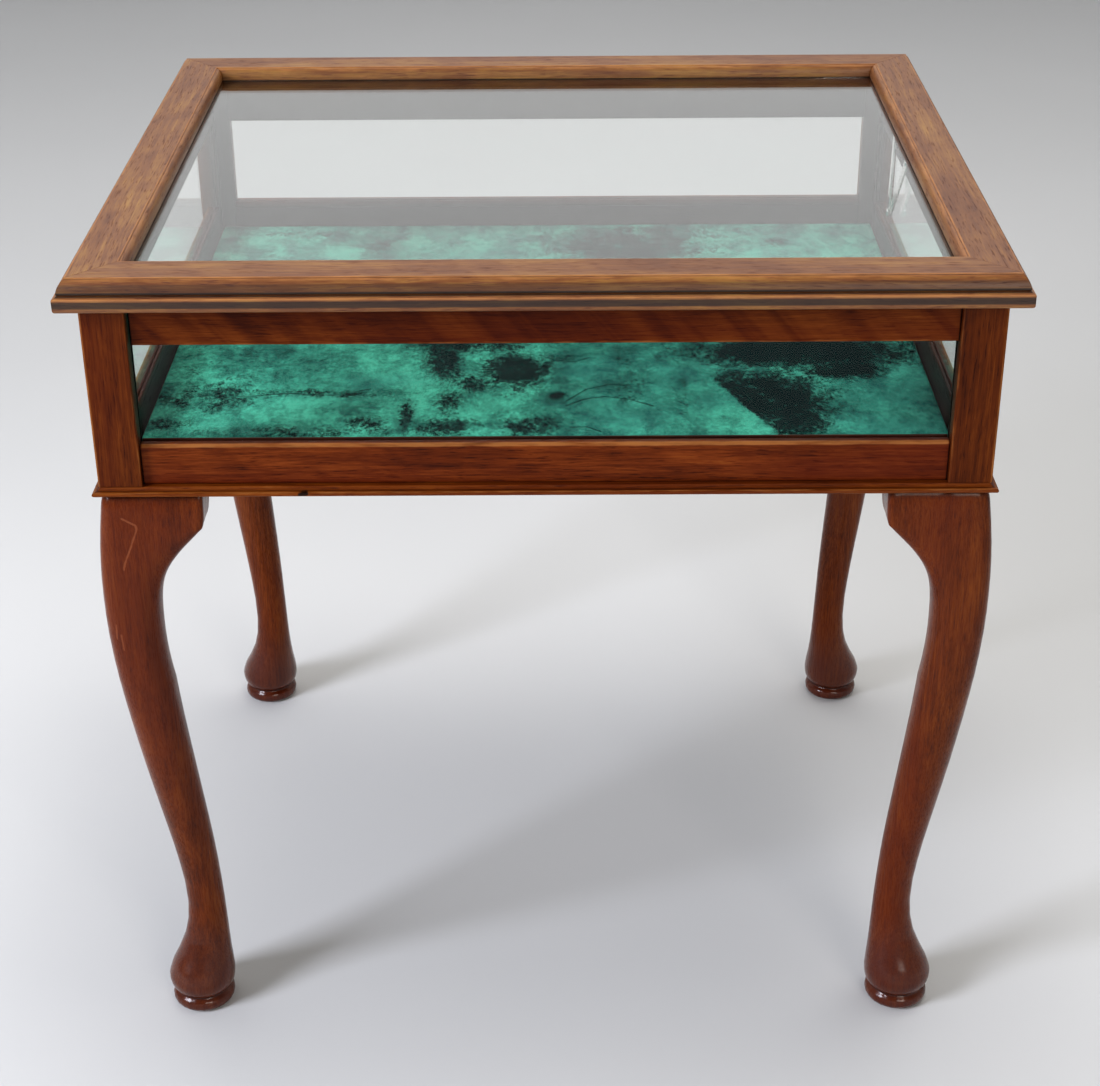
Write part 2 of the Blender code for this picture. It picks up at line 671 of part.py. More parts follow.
def stay_bracket(finish):
    """A plate under the lid, with an ear that hangs down to the upper arm's pivot."""
    pivot_y, pivot_z = STAY_LID_PIVOT
    plate_top = LID_BOTTOM - FIT_GAP
    low = (LID_ARM_X - 0.0016, pivot_y - STAY_PLATE_HALF, plate_top - STAY_PLATE_THICKNESS)
    high = (CASE_ARM_X + STAY_ARM_THICKNESS, pivot_y + STAY_PLATE_HALF, plate_top)
    bracket = add_object("stay_lid_bracket", box(low, high), finish)
    root = plate_top - STAY_PLATE_THICKNESS / 2
    outline = [(pivot_y - STAY_EAR_HALF, root)]
    outline += arc(STAY_LID_PIVOT, STAY_EAR_RADIUS, 200, 340, 6)
    outline += [(pivot_y + STAY_EAR_HALF, root)]
    ear = plate_in_x(outline, CASE_ARM_X, CASE_ARM_X + STAY_ARM_THICKNESS - LEAF_SKIN)
    boolean(bracket, helper("stay_bracket_ear", ear, finish), "UNION")
    bore = helper("stay_bracket_bore", pivot_hole(CASE_ARM_X, STAY_LID_PIVOT), finish)
    boolean(bracket, bore, "DIFFERENCE")


def build_stay(nickel):
    """An elbow stay: folded below its two pivots while the lid is shut, nearly straight when open."""
    stay_arm("stay_case_arm", STAY_CASE_PIVOT, STAY_KNUCKLE, CASE_ARM_X, nickel)
    stay_arm("stay_lid_arm", STAY_LID_PIVOT, STAY_KNUCKLE, LID_ARM_X, nickel)
    stay_bracket(nickel)
    ear_end = CASE_ARM_X + STAY_ARM_THICKNESS + STAY_PLANE_GAP
    rivet_end = LID_ARM_X + STAY_ARM_THICKNESS + PIN_CLEARANCE
    stay_pin("stay_case_pivot", STAY_CASE_PIVOT, CASE_ARM_X, RAIL_INNER_X + STAY_PIN_BITE, nickel)
    stay_pin("stay_lid_pivot", STAY_LID_PIVOT, LID_ARM_X, ear_end, nickel)
    stay_pin("stay_knuckle_rivet", STAY_KNUCKLE, LID_ARM_X, rivet_end, nickel)
    radius = STAY_PIN_RADIUS + SCREW_CLEARANCE
    steps = [(-0.001, radius), (STAY_PIN_BITE + 0.0006, radius)]
    pilot = helper("stay_pilot_hole", turned((RAIL_INNER_X, *STAY_CASE_PIVOT), (1, 0, 0), steps), nickel)
    boolean(bpy.data.objects["top_rail_right"], pilot, "DIFFERENCE")


# Joint axes ----------------------------------------------------------------------------------


def hang(axis_name, location, parts):
    """Parents the parts to an empty that stands on their joint's axis, leaving them in place."""
    axis = bpy.data.objects.new(axis_name, None)
    axis.location = location
    axis.empty_display_size = 0.02
    bpy.context.scene.collection.objects.link(axis)
    for part in parts:
        part.parent = axis
        part.matrix_parent_inverse = Matrix.Translation(location).inverted()


def hang_moving_parts():
    """The lid turns on its hinges' axis, and each arm of the stay on its own pivot."""
    lid_names = ("lid_", "hinge_lid_", "stay_lid_bracket", "stay_lid_pivot")
    lid = [obj for obj in bpy.data.objects if obj.name.startswith(lid_names) and not obj.hide_render]
    hang("lid_hinge_axis", (0.0, HINGE_Y, HINGE_Z), lid)
    arm_middle = STAY_ARM_THICKNESS / 2
    case_arm = [bpy.data.objects["stay_case_arm"]]
    hang("stay_case_axis", (CASE_ARM_X + arm_middle, *STAY_CASE_PIVOT), case_arm)
    lid_arm = [bpy.data.objects["stay_lid_arm"], bpy.data.objects["stay_knuckle_rivet"]]
    hang("stay_lid_axis", (LID_ARM_X + arm_middle, *STAY_LID_PIVOT), lid_arm)


def main():
    clear_scene()
    wood = material("mahogany", (0.19, 0.065, 0.028), 0.35)
    board = material("plywood", (0.42, 0.27, 0.15), 0.7)
    glass = material("clear_glass", (0.9, 0.95, 0.93), 0.05, alpha=0.3)
    velvet = material("green_velvet", (0.02, 0.22, 0.13), 0.9)
    brass = material("brass", (0.72, 0.53, 0.24), 0.3, metallic=1.0)
    steel = material("steel", (0.6, 0.58, 0.55), 0.35, metallic=1.0)
    nickel = material("nickel", (0.75, 0.74, 0.72), 0.25, metallic=1.0)
    build_lid(wood, glass)
    build_posts(wood)
    build_rails(wood)
    build_panes(wood, glass)
    build_floor(wood, board, velvet)
    build_legs(wood)
    build_hinges(brass, steel)
    build_stay(nickel)
    hang_moving_parts()


main()
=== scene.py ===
import math

import bmesh
import bpy
import numpy as np
from mathutils import Matrix, Vector, noise


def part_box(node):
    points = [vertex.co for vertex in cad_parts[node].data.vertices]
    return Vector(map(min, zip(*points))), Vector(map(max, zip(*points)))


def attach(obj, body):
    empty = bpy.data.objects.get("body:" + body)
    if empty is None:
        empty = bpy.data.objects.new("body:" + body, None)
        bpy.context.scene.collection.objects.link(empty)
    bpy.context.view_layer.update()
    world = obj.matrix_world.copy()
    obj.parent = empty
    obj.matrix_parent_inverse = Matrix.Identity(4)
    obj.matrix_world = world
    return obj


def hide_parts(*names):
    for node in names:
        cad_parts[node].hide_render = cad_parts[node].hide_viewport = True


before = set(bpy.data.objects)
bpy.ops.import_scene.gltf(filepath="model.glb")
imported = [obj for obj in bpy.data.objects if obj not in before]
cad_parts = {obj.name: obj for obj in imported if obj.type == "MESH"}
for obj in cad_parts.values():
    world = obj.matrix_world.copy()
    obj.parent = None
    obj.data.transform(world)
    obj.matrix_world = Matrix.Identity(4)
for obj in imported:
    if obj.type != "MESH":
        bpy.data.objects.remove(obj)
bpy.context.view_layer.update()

# %% [markdown]
# A glazed display table: a shallow glass case lined with green velvet, standing on four carved
# legs, under a hinged glass lid. The imported model gives every size and place. This lesson dresses
# it: each timber is rebuilt with rounded arrises and grain, the legs get their carved blend, the
# velvet becomes cloth, and glass and metal get their finishes.

# %% [markdown]
# The studio comes first. The table stands on a pale floor that curves up into a low wall all
# round, so that it has a quiet background from every side. A bowl turned from one profile does
# that in one mesh, which isn't part of the table.

# %% A pale floor that sweeps up into a wall
FLOOR_RADIUS = 3.2
SWEEP_RADIUS = 1.1
WALL_HEIGHT = 1.5
FLOOR_DROP = 0.0004


def object_from(builder, name):
    """The object made from a finished builder."""
    mesh = bpy.data.meshes.new(name)
    builder.to_mesh(mesh)
    builder.free()
    made = bpy.data.objects.new(name, mesh)
    bpy.context.scene.collection.objects.link(made)
    return made


def lathe(profile, sides, name):
    """A surface turned round Z from (radius, height) points."""
    builder = bmesh.new()
    rings = []
    for radius, height in profile:
        turn = [2 * math.pi * i / sides for i in range(sides)]
        rings.append([builder.verts.new((radius * math.cos(a), radius * math.sin(a), height)) for a in turn])
    for low, high in zip(rings, rings[1:]):
        for i in range(sides):
            builder.faces.new((low[i], low[(i + 1) % sides], high[(i + 1) % sides], high[i]))
    builder.faces.new(rings[0])
    bmesh.ops.recalc_face_normals(builder, faces=builder.faces)
    made = object_from(builder, name)
    made.data.shade_smooth()
    return made


SWEEP_STEPS = 12
sweep = [(0.4, -FLOOR_DROP), (FLOOR_RADIUS, -FLOOR_DROP)]
for k in range(1, SWEEP_STEPS + 1):
    angle = math.radians(90 * k / SWEEP_STEPS)
    sweep.append((FLOOR_RADIUS + SWEEP_RADIUS * math.sin(angle), SWEEP_RADIUS * (1 - math.cos(angle))))
sweep.append((FLOOR_RADIUS + SWEEP_RADIUS, WALL_HEIGHT))
studio = lathe(sweep, 96, "studio_floor")
print("studio floor", round(2 * FLOOR_RADIUS, 1), "m across")

# %% [markdown]
# Shader maths reads best as plain expressions. This small class wraps one socket of a shader
# tree: +, -, * and / add the Math or Vector Math node that they stand for, also with the number
# first, and node() makes any other node from its settings and its inputs.

# %% A socket that can be added, subtracted, multiplied and divided
class Wire:
    def __init__(self, tree, socket=None):
        self.tree = tree
        self.socket = socket

    def node(self, kind, settings=None, inputs=None, out=0):
        made = self.tree.nodes.new("ShaderNode" + kind)
        for key, value in (settings or {}).items():
            if key == "stops":
                ramp = made.color_ramp
                for place, colour in value[2:]:
                    ramp.elements.new(place).color = colour
                for element, (place, colour) in zip((ramp.elements[0], ramp.elements[-1]), value[:2]):
                    element.position, element.color = place, colour
            else:
                setattr(made, key, value)
        for key, value in (inputs or {}).items():
            if isinstance(value, Wire):
                self.tree.links.new(value.socket, made.inputs[key])
            else:
                made.inputs[key].default_value = value
        return Wire(self.tree, made.outputs[out] if made.outputs else None)

    def calculate(self, operation, first, second):
        pair = (first, second)
        vector = any(isinstance(w, tuple) or isinstance(w, Wire) and w.socket.type == "VECTOR" for w in pair)
        kind = "VectorMath" if vector else "Math"
        if vector:
            first, second = ((w, w, w) if isinstance(w, (int, float)) else w for w in pair)
        return self.node(kind, {"operation": operation}, {0: first, 1: second})

    def __add__(self, other):
        return self.calculate("ADD", self, other)

    def __radd__(self, other):
        return self.calculate("ADD", other, self)

    def __sub__(self, other):
        return self.calculate("SUBTRACT", self, other)

    def __rsub__(self, other):
        return self.calculate("SUBTRACT", other, self)

    def __mul__(self, other):
        return self.calculate("MULTIPLY", self, other)

    def __rmul__(self, other):
        return self.calculate("MULTIPLY", other, self)

    def __truediv__(self, other):
        return self.calculate("DIVIDE", self, other)

    def __rtruediv__(self, other):
        return self.calculate("DIVIDE", other, self)


# %% [markdown]
# Four patterns do most of the work in every finish: a cloudy noise, a soft step that turns a
# cloud into patches, a mix of two colours, and a bump. Each is one short function on wires.

# %% Patterns that every finish uses
def cloud(where, scale, detail=2.0, roughness=0.5, distortion=0.0):
    """Noise from 0 to 1. Scale is one number or, for stretched noise, three."""
    if isinstance(scale, tuple):
        where, scale = where * scale, 1.0
    inputs = {"Vector": where, "Scale": scale, "Detail": detail, "Roughness": roughness}
    return where.node("TexNoise", None, {**inputs, "Distortion": distortion})


def step(value, low, high, bottom=0.0, top=1.0):
    """From bottom to top as value goes from low to high, held flat outside."""
    inputs = {"Value": value, "From Min": low, "From Max": high, "To Min": bottom, "To Max": top}
    return value.node("MapRange", {"clamp": True, "interpolation_type": "SMOOTHSTEP"}, inputs)


def blend(factor, first, second):
    """A colour between first and second."""
    settings = {"data_type": "RGBA", "blend_type": "MIX", "clamp_factor": True}
    return factor.node("Mix", settings, {0: factor, 6: first, 7: second}, out=2)


def colour(r, g, b):
    return (r, g, b, 1.0)


def bump(height, distance, strength=1.0):
    inputs = {"Height": height, "Distance": distance, "Strength": strength}
    return height.node("Bump", None, inputs)


def finish_material(name, inputs, shader="BsdfPrincipled"):
    """A material whose surface is one shader with these inputs, or the shader wire given."""
    made = bpy.data.materials.new(name)
    made.use_nodes = True
    tree = made.node_tree
    tree.nodes.clear()
    surface = inputs(Wire(tree))
    if isinstance(surface, dict):
        surface = Wire(tree).node(shader, None, surface)
    Wire(tree).node("OutputMaterial", None, {"Surface": surface})
    return made


print("patterns ready")

# %% [markdown]
# The studio's paint is a flat pale grey with the faintest cloud in it, so that shadows under the
# feet read clearly and nothing draws the eye.

# %% Studio paint
def studio_inputs(new):
    here = new.node("TexCoord", None, None, out=3)
    mottle = cloud(here, 1.4, 3.0)
    paint = blend(mottle, colour(0.60, 0.60, 0.595), colour(0.66, 0.66, 0.655))
    return {"Base Color": paint, "Roughness": 0.85}


studio.data.materials.append(finish_material("studio_paint", studio_inputs))

# %% [markdown]
# The timber is mahogany, stained red brown and lacquered. Its look has five layers: broad zones
# of tone, streaks a few millimetres wide that run far along the board, fine dark pores, a ribbon
# figure of soft bars across the board, and paler arrises, partly wear and partly painted highlight.
# Painted shade darkens the quirks, the joints and the recesses. Each timber carries its own
# coordinates, with X along its grain, as an attribute named board, so that one material serves
# every direction. The attribute worn says where an arris is paler, for wear and painted highlight,
# and, below zero, where painted shade falls; inner says where a face looks into the case.

# %% Mahogany
def parts_of(vector):
    """The three numbers of a vector."""
    x = vector.node("SeparateXYZ", None, {0: vector})
    return [Wire(x.tree, socket) for socket in x.socket.node.outputs]


def grain(new, board, ribbon, figure):
    """The tone of bare wood, about 0.5, with its dark dashes and its finest lines."""
    across, deep = parts_of(board)[1:]
    sway = cloud(board, (3.5, 10.0, 10.0), 2.0) - 0.5
    wavy = board + new.node("CombineXYZ", None, {"Y": sway * 0.014, "Z": sway * 0.010})
    leaning = board + new.node("CombineXYZ", None, {"X": deep * 0.9 + across * 0.6})
    zones = cloud(wavy, (6.0, 42.0, 42.0), 4.0, 0.6)
    streaks = cloud(wavy, (14.0, 420.0, 420.0), 6.0, 0.68, 0.3)
    hair = cloud(wavy, (60.0, 1700.0, 1700.0), 3.0, 0.68)
    dashes = step(cloud(wavy, (80.0, 1000.0, 1000.0), 2.0, 0.5), 0.56, 0.70)
    bars = step(cloud(leaning, (36.0, 3.0, 3.0), 3.0, 0.55, 0.4), 0.34, 0.64) - 0.5
    drawn = (streaks - 0.5) * 0.85 + (zones - 0.5) * 0.85 + (hair - 0.5) * 0.55 - dashes * 0.20
    return 0.5 + drawn * figure + bars * ribbon, dashes, hair


def mahogany(name, ribbon=0.1, figure=1.0, light=1.0, red=0.0, gloss=0.0, shine=0.2, pale=0.0, marks=()):
    """Ribbon is the strength of the bars, figure of the grain; light, red and pale shift the stain, and on
    the lid they also paint in a sheen.
    """
    tones = [(0.0, colour(0.010 * light, 0.0022 * light, 0.0008 * light)),
             (1.0, colour(0.400 * light, 0.150 * light, 0.024 * light)),
             (0.26, colour(0.046 * light, 0.0080 * light, 0.0012 * light)),
             (0.50, colour(0.124 * light, (0.0270 - 0.006 * red) * light, (0.0022 + 0.012 * pale) * light)),
             (0.76, colour(0.228 * light, (0.066 - 0.016 * red) * light, (0.0075 + 0.020 * pale) * light))]
    ruddy = colour(0.112 * light, 0.0125 * light, 0.0030 * light)
    # Paler colour for the arrises: wear, and also a painted highlight where they catch the light.
    pale_wear_and_highlight = colour(0.46, 0.20, 0.060)
    lining = colour(0.0065, 0.0058, 0.0055)
    # Painted shade: near black, laid where worn falls below zero, in quirks, joints and recesses.
    quirk = colour(0.0040, 0.0018, 0.0012)

    def inputs(new):
        board = new.node("Attribute", {"attribute_name": "board"}, None, out=1)
        worn = new.node("Attribute", {"attribute_name": "worn"}, None, out=2)
        inner = new.node("Attribute", {"attribute_name": "inner"}, None, out=2)
        tone, dashes, hair = grain(new, board, ribbon, figure)
        wood = tone.node("ValToRGB", {"stops": tones}, {0: tone})
        flush = step(cloud(board, (2.6, 14.0, 14.0), 2.0), 0.40, 0.66) * max(0.0, 0.25 + 0.45 * red)
        wood = blend(flush, wood, ruddy)
        # Paler arrises where worn is above zero: partly wear, partly a painted highlight.
        wear_and_painted_light = step(worn + (cloud(board, (50.0, 300.0, 300.0), 3.0) - 0.5) * 1.4, 0.32, 1.15)
        wood = blend(wear_and_painted_light * 0.60, wood, pale_wear_and_highlight)
        # Painted shade: below zero, worn darkens the wood towards near black.
        wood = blend(step(worn, 0.0, -1.0) * 0.92, wood, quirk)
        wood = blend(inner * 0.94, wood, lining)
        height = hair * 0.35 - dashes * 0.6 + tone * 0.3
        for points, width, strength, stain in marks:
            line = scratch(new, points, width, strength)
            wood = blend(line, wood, stain)
            height = height - line * 1.5
        coat = 0.02 + 0.40 * gloss
        if gloss:
            foot = step(parts_of(new.node("TexCoord", None, None, out=3))[2], 0.085, 0.030)
            wood = blend(foot * 0.45, wood, colour(0.050, 0.0065, 0.0040))
            coat = coat + foot * 0.45
        dull = 0.42 - 0.20 * gloss + (hair - 0.5) * 0.14 + dashes * 0.15 + wear_and_painted_light * 0.05
        return {"Base Color": wood, "Roughness": dull, "IOR": 1.5, "Specular IOR Level": shine,
                "Coat Weight": coat, "Coat Roughness": 0.17, "Normal": bump(height, 0.00016, 0.6)}

    return finish_material(name, inputs)


def scratch(new, points, width, strength):
    """A mask along a broken line of (x, z) points, on what faces the front."""
    here = new.node("TexCoord", None, None, out=3)
    front = step(parts_of(here)[1], -0.2300, -0.2360)
    flat = here * (1.0, 0.0, 1.0)
    wobble = cloud(flat, 190.0, 3.0, 0.6)
    return line_mask(flat, [(x, 0.0, z) for x, z in points], width, strength, wobble) * front


def line_mask(flat, points, width, strength, wobble):
    """1 on the line through the points, fading out over its width."""
    total = None
    for start, end in zip(points, points[1:]):
        start, run = Vector(start), Vector(end) - Vector(start)
        offset = flat - tuple(start)
        along = offset.node("VectorMath", {"operation": "DOT_PRODUCT"}, {0: offset, 1: tuple(run)}, out=1)
        share = along.node("MapRange", {"clamp": True}, {"Value": along, "From Max": run.length_squared})
        axes = {axis: share * run[i] for i, axis in enumerate("XYZ") if run[i]}
        gap = offset - share.node("CombineXYZ", None, axes)
        far = gap.node("VectorMath", {"operation": "LENGTH"}, {0: gap}, out=1)
        mask = step(far + (wobble - 0.5) * width * 1.2, width * 0.2, width * 0.75, strength, 0.0)
        total = mask if total is None else total.node("Math", {"operation": "MAXIMUM"}, {0: total, 1: mask})
    return total


PALE_SCRATCH = colour(0.235, 0.070, 0.026)
KNEE_SCRATCH = ((-0.2792, 0.4269), (-0.2703, 0.4222), (-0.2697, 0.4196), (-0.2735, 0.4096), (-0.2799, 0.3940),
                (-0.2806, 0.3905))
SHIN_SCRATCHES = (((-0.2902, 0.3479), (-0.2907, 0.3364)), ((-0.2875, 0.3400), (-0.2868, 0.3280)))
CHIP = ((-0.1604, 0.4452), (-0.1560, 0.4456))
knee_marks = [(KNEE_SCRATCH, 0.0013, 0.75, PALE_SCRATCH)]
knee_marks += [(points, 0.0012, 0.6, PALE_SCRATCH) for points in SHIN_SCRATCHES]

wood_case = mahogany("mahogany_case", ribbon=0.08, figure=1.0, light=0.92, red=0.8, shine=0.12)
wood_post = mahogany("mahogany_post", ribbon=0.06, figure=0.8, light=0.80, red=0.2, shine=0.12)
wood_rail = mahogany("mahogany_ribboned", ribbon=0.30, figure=0.8, light=0.76, red=0.3, shine=0.10)
base_look = {"ribbon": 0.0, "figure": 0.7, "light": 1.10, "shine": 0.16}
wood_base = mahogany("mahogany_base", **base_look)
chip_mark = (CHIP, 0.0022, 0.95, colour(0.006, 0.003, 0.002))
wood_chipped = mahogany("mahogany_base_chipped", marks=[chip_mark], **base_look)
# The lid's stain is set lighter and greyer than the rest of the timber: this paints in the sheen of the
# bright wall on its top.
wood_lid_painted_sheen = mahogany("mahogany_lid_painted_sheen", ribbon=0.06, figure=0.65, light=1.52, red=-3.2, shine=0.60, pale=0.9)
leg_look = {"ribbon": 0.05, "figure": 0.70, "light": 0.98, "red": 0.3, "gloss": 0.70, "shine": 0.08}
wood_leg = mahogany("mahogany_leg", **leg_look)
wood_scratched = mahogany("mahogany_leg_scratched", marks=knee_marks, **leg_look)
print("eight mahogany finishes")

# %% [markdown]
# Every length of the frame is one section run along a side of the table, as it comes off the
# spindle moulder. A section is a list of corners as (depth in from the outer face, height, corner
# radius, worn, inner); worn paints wear and highlight above zero and shade below it. Rounding each
# corner with a short curve gives arrises that catch the light. The same run, cut square or mitred,
# then serves all four sides.

# %% Sections with rounded corners, and the runs made from them
JOINT_GAP = 0.0003
SIDES = ("front", "right", "back", "left")
WEAR_AND_PAINTED_LIGHT_REACH = 0.0011


def rounded(corners, steps=4):
    """Section points (depth, height, worn, inner), every corner drawn as a small curve.

    Worn, which paints wear and highlight above zero and shade below, fades out within a short reach of the
    corner, so a plain point closes it on either side.
    """
    points = []
    count = len(corners)
    for i, (d, h, radius, worn, inner) in enumerate(corners):
        here = Vector((d, h))
        before, after = Vector(corners[i - 1][:2]), Vector(corners[(i + 1) % count][:2])
        to_before, to_after = before - here, after - here
        reach = min(radius, 0.45 * to_before.length, 0.45 * to_after.length)
        guard = reach + WEAR_AND_PAINTED_LIGHT_REACH
        if worn and guard < 0.5 * to_before.length:
            points.append((*(here + to_before.normalized() * guard), 0.0, inner))
        if reach <= 0:
            points.append((d, h, worn, inner))
        else:
            start, end = here + to_before.normalized() * reach, here + to_after.normalized() * reach
            for k in range(steps + 1):
                t = k / steps
                at = start * (1 - t) ** 2 + here * 2 * t * (1 - t) + end * t ** 2
                points.append((*at, worn, inner))
        if worn and guard < 0.5 * to_after.length:
            points.append((*(here + to_after.normalized() * guard), 0.0, inner))
    return points


def at_side(side, along, depth, height, half_x, half_y):
    """A point given along one side and in from its outer face, in the table's axes."""
    half = half_y if side in ("front", "back") else half_x
    flat = {"front": (along, depth - half), "right": (half - depth, along),
            "back": (-along, half - depth), "left": (depth - half, -along)}[side]
    return (*flat, height)


def paint_attributes(mesh, board, worn, inner):
    """Stores each point's place in its board, its worn value (wear and painted highlight above zero, painted
    shade below), and whether it looks into the case.
    """
    mesh.attributes.new("board", "FLOAT_VECTOR", "POINT").data.foreach_set("vector", np.ravel(board))
    mesh.attributes.new("worn", "FLOAT", "POINT").data.foreach_set("value", np.ravel(worn))
    mesh.attributes.new("inner", "FLOAT", "POINT").data.foreach_set("value", np.ravel(inner))


boards_cut = []


def own_board(along, across, deep):
    """Coordinates in a board that no other timber shares."""
    k = len(boards_cut)
    boards_cut.append(k)
    return (along + 0.83 * k, across + 0.37 * (k % 5), deep + 0.29 * (k % 7))


def skin_to_object(name, rings, data):
    """A closed skin through rings of points, with the attributes of each point."""
    count = len(rings[0])
    faces = []
    for r in range(len(rings) - 1):
        for i in range(count):
            j = (i + 1) % count
            faces.append((r * count + i, r * count + j, (r + 1) * count + j, (r + 1) * count + i))
    faces.append(tuple(range(count)))
    faces.append(tuple((len(rings) - 1) * count + i for i in range(count)))
    mesh = bpy.data.meshes.new(name)
    mesh.from_pydata([p for ring in rings for p in ring], [], faces)
    paint_attributes(mesh, *data)
    builder = bmesh.new()
    builder.from_mesh(mesh)
    bmesh.ops.recalc_face_normals(builder, faces=builder.faces)
    builder.to_mesh(mesh)
    builder.free()
    made = bpy.data.objects.new(name, mesh)
    bpy.context.scene.collection.objects.link(made)
    return made


def ease_ends(obj, width=0.00025):
    """The knife-fine rounding that sandpaper leaves on sawn ends."""
    eased = obj.modifiers.new("eased_ends", "BEVEL")
    eased.width = width
    eased.segments = 2
    eased.limit_method = "ANGLE"
    eased.angle_limit = math.radians(50)
    obj.data.shade_smooth()
    obj.data.set_sharp_from_angle(angle=math.radians(48))


def timber(name, node, side, section, half_x, half_y, finish, body, stop=None, shy=0.0):
    """One length of a section: mitred, or cut square at the distance stop from the corner.

    Shy is how far its first end stays away from the joint, where the wood has shrunk.
    """
    span = half_x if side in ("front", "back") else half_y
    shares = [-1.0, -0.996, -0.75, -0.5, -0.25, 0.0, 0.25, 0.5, 0.75, 0.996, 1.0]
    rings, board, worn, inner = [], [], [], []
    for share in shares:
        ring = []
        for depth, height, wear_and_painted_light, lining in section:
            reach = span - (depth + JOINT_GAP / 2 if stop is None else stop)
            along = share * reach + (shy if share < -0.9 else 0.0)
            ring.append(at_side(side, along, depth, height, half_x, half_y))
            board.append((along, depth, height))
            # Square-cut ends are painted darker, as shade at the joint with the post.
            worn.append(wear_and_painted_light - (0.9 if stop and abs(share) == 1.0 else 0.0))
            inner.append(lining)
        rings.append(ring)
    shift = own_board(0.0, 0.0, 0.0)
    board = [tuple(a + b for a, b in zip(p, shift)) for p in board]
    made = skin_to_object(name, rings, (board, worn, inner))
    ease_ends(made)
    made.data.materials.append(finish)
    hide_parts(node)
    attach(made, body)
    return made


# %% [markdown]
# The lid is a picture frame for its glass: a flat top, a thumb moulding outside that lands on a
# square edge, and a small ovolo inside that runs down to the pane. It is sawn at 45 degrees in the
# corners. Its profile is where a plain bevel would give it away, so each curve gets many points.

# %% Lid frame
lid_low, lid_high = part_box("lid_rail_front")
lid_half_x, lid_half_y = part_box("lid_rail_right")[1].x, -lid_low.y
lid_top, lid_bottom = lid_high.z, lid_low.z
glass_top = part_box("lid_glass")[1].z
opening_depth = lid_high.y - lid_low.y
FLAT_START, FLAT_END = 0.0076, 0.0364
EDGE_DROP = 0.0120
THUMB_START, THUMB_WIDTH, THUMB_DROP = 0.0026, 0.0048, 0.0085
THUMB_SWELL = 0.6
FILLET = 0.0009
OVOLO_FILLET = 0.0007
CURVE_STEPS = 14
# Painted shade on the lid's outer face and on its thumb moulding, darker than its pale top.
FASCIA_SHADE = -0.78
THUMB_SHADE = -0.48


def quarter():
    """Angles through a quarter turn."""
    return [math.radians(90 * i / CURVE_STEPS) for i in range(CURVE_STEPS + 1)]


def thumb_moulding():
    """From the quirk at its foot, painted near black as shade, up to an arris beside the flat, painted paler
    for wear and as a highlight; the slope between is painted darker, as shade.
    """
    points = []
    for a in quarter():
        rise = (1 - THUMB_SWELL) * (1 - math.cos(a)) + THUMB_SWELL * math.sin(a)
        depth = THUMB_START + 0.0001 + THUMB_WIDTH * (1 - math.cos(a))
        worn = 6.0 * max(0.0, math.sin(a) - 0.8) + THUMB_SHADE if a > 0.15 else -1.0
        points.append((depth, lid_top - FILLET - THUMB_DROP * (1 - rise), worn, 0.0))
    return points


def inner_ovolo():
    """From the flat down to the pane."""
    start = FLAT_END + 0.0008
    fall = lid_top - OVOLO_FILLET - glass_top - 0.0009
    points = []
    for a in quarter():
        height = lid_top - OVOLO_FILLET - fall * (1 - math.cos(a))
        points.append((start + (opening_depth - start) * math.sin(a), height, 0.75 - 0.5 * math.sin(a), 0.0))
    return points


def lid_section():
    """Drawn from the square edge up over the top, down the ovolo and back underneath."""
    # Worn below zero paints shade: in the quirk under the thumb, at the steps beside the flat, and where the
    # ovolo meets the glass.
    edge_top = lid_top - EDGE_DROP
    rebate = FLAT_END + JOINT_GAP
    edge = rounded([(rebate, lid_bottom, 0.0, 0.0, 0.6), (0.0, lid_bottom, 0.0026, 0.1, 0.0),
                    (0.0, edge_top, 0.0006, 0.9, 0.0),
                    (THUMB_START - 0.0003, edge_top + 0.0009, 0.0, -0.5, 0.0),
                    (THUMB_START + 0.0001, edge_top + 0.0013, 0.0, -1.0, 0.0)], 6)
    # Points on the outer face are painted darker, as shade.
    stained = []
    for depth, height, worn, inner in edge:
        on_face = depth < 0.0002 and worn <= 0.0
        stained.append((depth, height, FASCIA_SHADE if on_face else worn, inner))
    top = rounded([(FLAT_START - 0.0002, lid_top - FILLET, 0.0, -0.3, 0.0),
                   (FLAT_START, lid_top, 0.0004, 0.9, 0.0), (FLAT_END, lid_top, 0.0004, 0.9, 0.0),
                   (FLAT_END + 0.0005, lid_top - OVOLO_FILLET, 0.0, -0.3, 0.0)], 4)
    seat = glass_top + JOINT_GAP
    foot = [(opening_depth, seat, -0.8, 0.0), (rebate, seat, 0.0, 0.6)]
    return stained + thumb_moulding() + top[1:-1] + inner_ovolo() + foot


def lid_bead_section():
    """The strip that holds the pane from below."""
    node_low, node_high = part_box("lid_glass_bead_front")
    near, far = node_low.y + lid_half_y, node_high.y + lid_half_y
    return rounded([(near, node_high.z, 0.0, 0.0, 1.0), (far, node_high.z, 0.0003, 0.0, 0.7),
                    (far, node_low.z + 0.0027, 0.0008, 0.2, 0.7),
                    (far - 0.0012, node_low.z + 0.0006, 0.0008, 0.2, 0.7), (near, node_low.z, 0.0, 0.0, 1.0)])


for side in SIDES:
    timber("lid_frame_" + side, "lid_rail_" + side, side, lid_section(), lid_half_x, lid_half_y,
           wood_lid_painted_sheen, "lid")
    timber("lid_bead_" + side, "lid_glass_bead_" + side, side, lid_bead_section(), lid_half_x, lid_half_y,
           wood_case, "lid")
print("lid frame", round(2000 * lid_half_x), "by", round(2000 * lid_half_y), "mm")
print("its section has", len(lid_section()), "points")

# %% [markdown]
# The case is post and rail. The rails sit back from the posts, which throws the thin dark line
# that shows at every joint, and each has a small round on its outer edge. Inside, the posts are
# rebated so that the display space is a clean rectangle, and the faces in there are stained dark.

